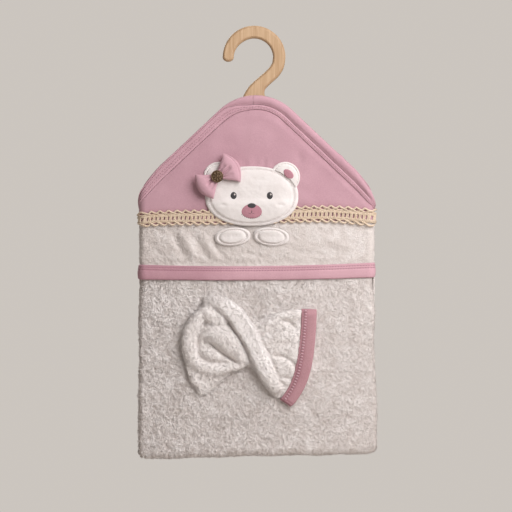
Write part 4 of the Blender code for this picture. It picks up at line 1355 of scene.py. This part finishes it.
def under_cuff(mesh):
    """Presses the cloth flat where the cuff goes round it."""
    at = places(mesh)
    edge = through_points(CUFF_EDGES, 60) * MM
    gap = np.interp(-at[:, 2], edge[:, 1], edge[:, 0]) - at[:, 0]
    lift = -at[:, 1] + fold(at[:, 0], -at[:, 2], 0)[:, 1]
    limit = 0.0080 + 0.009 * ease(gap, -0.001, 0.018)
    towards_back(mesh, at, np.clip(lift - limit, 0, None))


def soften(mesh, times):
    """Rounds a mesh by moving each of its places towards its neighbours."""
    soft = bmesh.new()
    soft.from_mesh(mesh)
    for _ in range(times):
        bmesh.ops.smooth_vert(soft, verts=soft.verts, factor=0.5, use_axis_x=True, use_axis_y=True,
                              use_axis_z=True)
    soft.to_mesh(mesh)
    soft.free()
    mesh.update()


CUFF_EDGES = (  # millimetres: left x and drop, right x and drop
    (69.8, 399, 92.3, 399.5), (68.6, 420, 91.5, 423), (66.9, 440, 89.8, 446), (64.6, 460, 87.0, 468),
    (61.2, 480, 82.8, 489), (56.2, 499, 76.3, 508.5), (49.8, 514.5, 68.0, 525), (42.5, 526, 59.5, 537.5),
    (37.2, 532.5, 53.0, 544),
)
CUFF_ROWS = (0.19, 0.36)
CUFF_THICK = 0.0098


def make_cuff():
    """The binding round the mitt's mouth, with two rows of stitches and fine ribs between."""
    rows = through_points(CUFF_EDGES, 90) * MM
    left, right = rows[:, :2], rows[:, 2:]
    angle = turns(40)
    share = 0.5 - 0.5 * squared(np.cos(angle), 0.6)
    height = 0.5 + 0.5 * squared(np.sin(angle), 0.45)
    rings = []
    for index, (left_x, left_drop, right_x, right_drop) in enumerate(rows):
        end = min(index, len(rows) - 1 - index)
        thick = CUFF_THICK * (0.55 + 0.45 * ease(end, 0, 4))
        x = left_x + (right_x - left_x) * share
        drop = left_drop + (right_drop - left_drop) * share
        ditch = 0.0008 * ditches(share, CUFF_ROWS) * (height > 0.5)
        rings.append(fold(x, drop, 0.0004 + thick * height - ditch + noise(x, drop, 0.005, 61) * 0.0002))
    cuff = solid("mitt_cuff", rings)
    at = places(cuff.data)
    flat_uv(cuff.data, at[:, 0], at[:, 2])
    x, drop = at[:, 0], -at[:, 2]
    # painted shade along both rows of stitches, and two painted fold shadows near the cuff's lower end
    dark = [near_line(x, drop, left * (1 - row) + right * row, 0.0022) for row in CUFF_ROWS]
    dark += [1.5 * near_line(x, drop, np.linspace(left[end], right[end], 5), 0.0013) for end in (-10, -5)]
    attribute(cuff.data, "shade", -0.2 + 0.6 * np.max(dark, axis=0))
    dress(cuff, SHADED_CUFF_PINK, ["mitt_cuff_binding"])
    for number, row in enumerate(CUFF_ROWS):
        x, drop = (left + (right - left) * row).T
        stitched(f"cuff_stitches_{number}", x, drop, CUFF_THICK - 0.0004, DEEP_PINK_THREAD,
                 length=0.0020, gap=0.0022, thick=0.0013)
    x, drop = (left + (right - left) * sum(CUFF_ROWS) / 2).T
    stitched("cuff_ribs", x, drop, CUFF_THICK - 0.0001, PINK_THREAD,
             length=0.0026, gap=0.0016, thick=0.0020, crosswise=0.0052)


# ------------------------------------------------------------------ hanger

HOOK_WIDTH, HOOK_RADIUS = 0.0185, 0.0371
EYE_RADIUS = HOOK_RADIUS - HOOK_WIDTH / 2
TIP_WIDTH = 0.0164
NECK = (  # x, z and width in millimetres
    (37.1, -27.85, 18.5), (35.2, -39.7, 18.7), (29.6, -49.2, 18.8), (22.4, -56.4, 18.3), (14.9, -63.0, 18.6),
    (8.6, -69.2, 20.0), (4.4, -75.6, 24.5), (2.0, -82.0, 30.0), (1.0, -89.0, 36.0), (0.6, -97.0, 41.0),
)
ARM_TIP_RADIUS = 0.012
ARMS_LOW_MIDDLE = (0.0, -0.1415)
BOARD_ROUNDING = 0.0034


def hook_path():
    """x, z and width along the middle of the hook, from its tip round to the neck."""
    turn = pi * (1 - np.linspace(0, 1, 70))
    width = TIP_WIDTH + (HOOK_WIDTH - TIP_WIDTH) * ease(np.arange(70), 0, 25)
    radius = HOOK_RADIUS + (HOOK_WIDTH - width) / 2
    crook = np.stack([radius * np.cos(turn), -EYE_RADIUS + radius * np.sin(turn), width], axis=-1)
    neck = through_points(np.array(NECK) * MM, 50)[1:]
    return np.vstack([crook, neck])


def board_outline(low, high):
    """x and z round the whole board: the hook's outer side, both arms, its inner side and its round tip."""
    path = hook_path()
    run = unit(np.gradient(path[:, :2], axis=0))
    aside = np.stack([-run[:, 1], run[:, 0]], axis=-1) * path[:, 2:] / 2
    outer, inner = path[:, :2] + aside, path[:, :2] - aside
    cap = [(path[0, 0] - TIP_WIDTH / 2 * cos(angle), path[0, 1] - TIP_WIDTH / 2 * 0.8 * sin(angle))
           for angle in np.linspace(pi, 0, 15)[1:-1]]
    angles = radians(50) - pi * np.linspace(0, 1, 16)
    arm = np.stack([high.x - ARM_TIP_RADIUS + ARM_TIP_RADIUS * np.cos(angles),
                    low.z + ARM_TIP_RADIUS + ARM_TIP_RADIUS * np.sin(angles)], axis=-1)
    left_arm = arm[::-1] * np.array([-1, 1])
    return np.vstack([outer, arm, [ARMS_LOW_MIDDLE], left_arm, inner[::-1], cap])


def make_hanger():
    """Hook and arms cut from one board, with rounded edges."""
    low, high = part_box("hanger")
    half = (high.y - low.y) / 2
    board = bmesh.new()
    face = board.faces.new([board.verts.new((x, -half, z)) for x, z in board_outline(low, high)])
    grown = bmesh.ops.extrude_face_region(board, geom=[face])["geom"]
    moved = [item for item in grown if isinstance(item, bmesh.types.BMVert)]
    bmesh.ops.translate(board, verts=moved, vec=(0, 2 * half, 0))
    bmesh.ops.recalc_face_normals(board, faces=board.faces)
    rims = [edge for edge in board.edges if abs(edge.verts[0].co.y - edge.verts[1].co.y) < 1e-7]
    bmesh.ops.bevel(board, geom=rims, offset=BOARD_ROUNDING, segments=5, profile=0.5, affect="EDGES",
                    material=-1, clamp_overlap=True)
    bmesh.ops.triangulate(board, faces=[face for face in board.faces if len(face.verts) > 4])
    board.normal_update()
    for edge in board.edges:  # sharp where a flat face meets the rounding, so that both shade cleanly
        flat = [abs(face.normal.y) > 0.999 for face in edge.link_faces]
        edge.smooth = flat[0] == flat[1] and edge.calc_face_angle() < radians(35)
    obj = made("hanger_board", meshed("hanger_board", board))
    depth = np.abs(places(obj.data)[:, 1])
    # painted shade on the board's rounded edges
    attribute(obj.data, "shade", 0.35 * ease(depth, half - 0.003, half - 0.0006) * (depth < half - 1e-4))
    dress(obj, WOOD, ["hanger"])


# ------------------------------------------------------------------ studio

FLOOR_RADIUS, FLOOR_HEIGHT = 1.25, -0.86
TOWEL_MIDDLE = Vector((0, 0, -0.32))
PHOTO_WIDTH = 0.7526  # metres across the photo, at the depth of the towel's front
PHOTO_CENTRE = (0.0029, -0.3213)
TOWEL_FRONT = 0.014
CAMERA_DISTANCE = 3.0
SENSOR = 36


def make_floor():
    """A round pale floor below the towel."""
    ground = bmesh.new()
    bmesh.ops.create_circle(ground, cap_ends=True, segments=96, radius=FLOOR_RADIUS)
    bmesh.ops.translate(ground, verts=ground.verts, vec=(0, 0, FLOOR_HEIGHT))
    floor = placed("floor", meshed("floor", ground))
    material, _, surface = shader("pale paper", 0.9, specular=0.1)
    surface["Base Color"].default_value = (0.66, 0.62, 0.58, 1)
    floor.data.materials.append(material)


def make_lights():
    """Soft lights turned to the towel, and a plain surround that is seen paler than it shines."""
    for name, at, size, power, colour in (
            ("key", (0.75, -0.95, 0.40), (1.0, 1.2), 24, (1.0, 0.985, 0.985)),
            ("fill", (-1.5, -1.5, 0.1), (1.4, 1.6), 1.0, (1.0, 0.95, 0.90)),
            ("top", (0.1, 0.1, 1.3), (1.2, 0.8), 6, (1.0, 0.97, 0.94)),
            ("back", (-0.9, 1.5, 0.6), (1.2, 1.4), 24, (1.0, 0.97, 0.95))):
        light = bpy.data.lights.new(name, "AREA")
        light.shape = "RECTANGLE"
        light.size, light.size_y = size
        light.energy = power
        light.color = colour
        lamp = placed(name, light, at)
        lamp.rotation_euler = (TOWEL_MIDDLE - Vector(at)).to_track_quat("-Z", "Y").to_euler()
    world = bpy.data.worlds.new("soft room")
    world.use_nodes = True
    tree = world.node_tree
    light = tree.nodes["Background"]
    light.inputs["Color"].default_value = (1.0, 0.91, 0.83, 1)
    light.inputs["Strength"].default_value = 0.195
    seen = node(tree, "Background", {"Color": (0.60, 0.56, 0.52, 1), "Strength": 1.0})
    which = node(tree, "LightPath").outputs["Is Camera Ray"]
    mix = node(tree, "MixShader", {0: which, 1: light.outputs[0], 2: seen.outputs[0]})
    tree.links.new(mix.outputs[0], tree.nodes["World Output"].inputs["Surface"])
    bpy.context.scene.world = world


def make_camera():
    """The camera, square to the towel's front and framed as the photo is."""
    lens = bpy.data.cameras.new("camera")
    lens.sensor_width = SENSOR
    lens.lens = SENSOR * (CAMERA_DISTANCE - TOWEL_FRONT) / PHOTO_WIDTH
    camera = placed("camera", lens, (PHOTO_CENTRE[0], -CAMERA_DISTANCE, PHOTO_CENTRE[1]))
    camera.rotation_euler = (pi / 2, 0, 0)
    bpy.context.scene.camera = camera
    bpy.context.scene.view_settings.view_transform = "Standard"


PILE_STEP, PILE_SIZE = 0.0020, 0.0021
PILE_FIELDS = (0.358, 0.425, 0.492, 0.559, FRONT_LENGTH + 0.02)  # the front's loops, in four pieces


def make_pile():
    """Loops of pile standing up over the terry."""
    for number, drops in enumerate(zip(PILE_FIELDS, PILE_FIELDS[1:])):
        x, drop = pile_places(PILE_STEP, drops)
        lift = pile(x, drop) + soft_swell(x, drop) - PILE_SUNK
        dress_pile(f"front_loops_{number}", x, drop, lift, PILE_SIZE, 71 + number)
    x, drop = pile_places(PILE_STEP, (0.279, 0.333))
    below_lace = drop > lace_drop(x, 1) + 0.001
    x, drop = x[below_lace], drop[below_lace]
    dress_pile("hood_loops", x, drop, strip_lift(x, drop, 0) - PILE_SUNK, PILE_SIZE * 0.75, 75, painted_strip_shade)


make_hanger()
make_towel()
make_hidden_layers()
make_hood()
make_bindings()
make_edge_tape()
make_lace()
make_bear()
make_bow()
make_button()
make_mitt()
make_cuff()
make_pile()
make_floor()
make_lights()
make_camera()
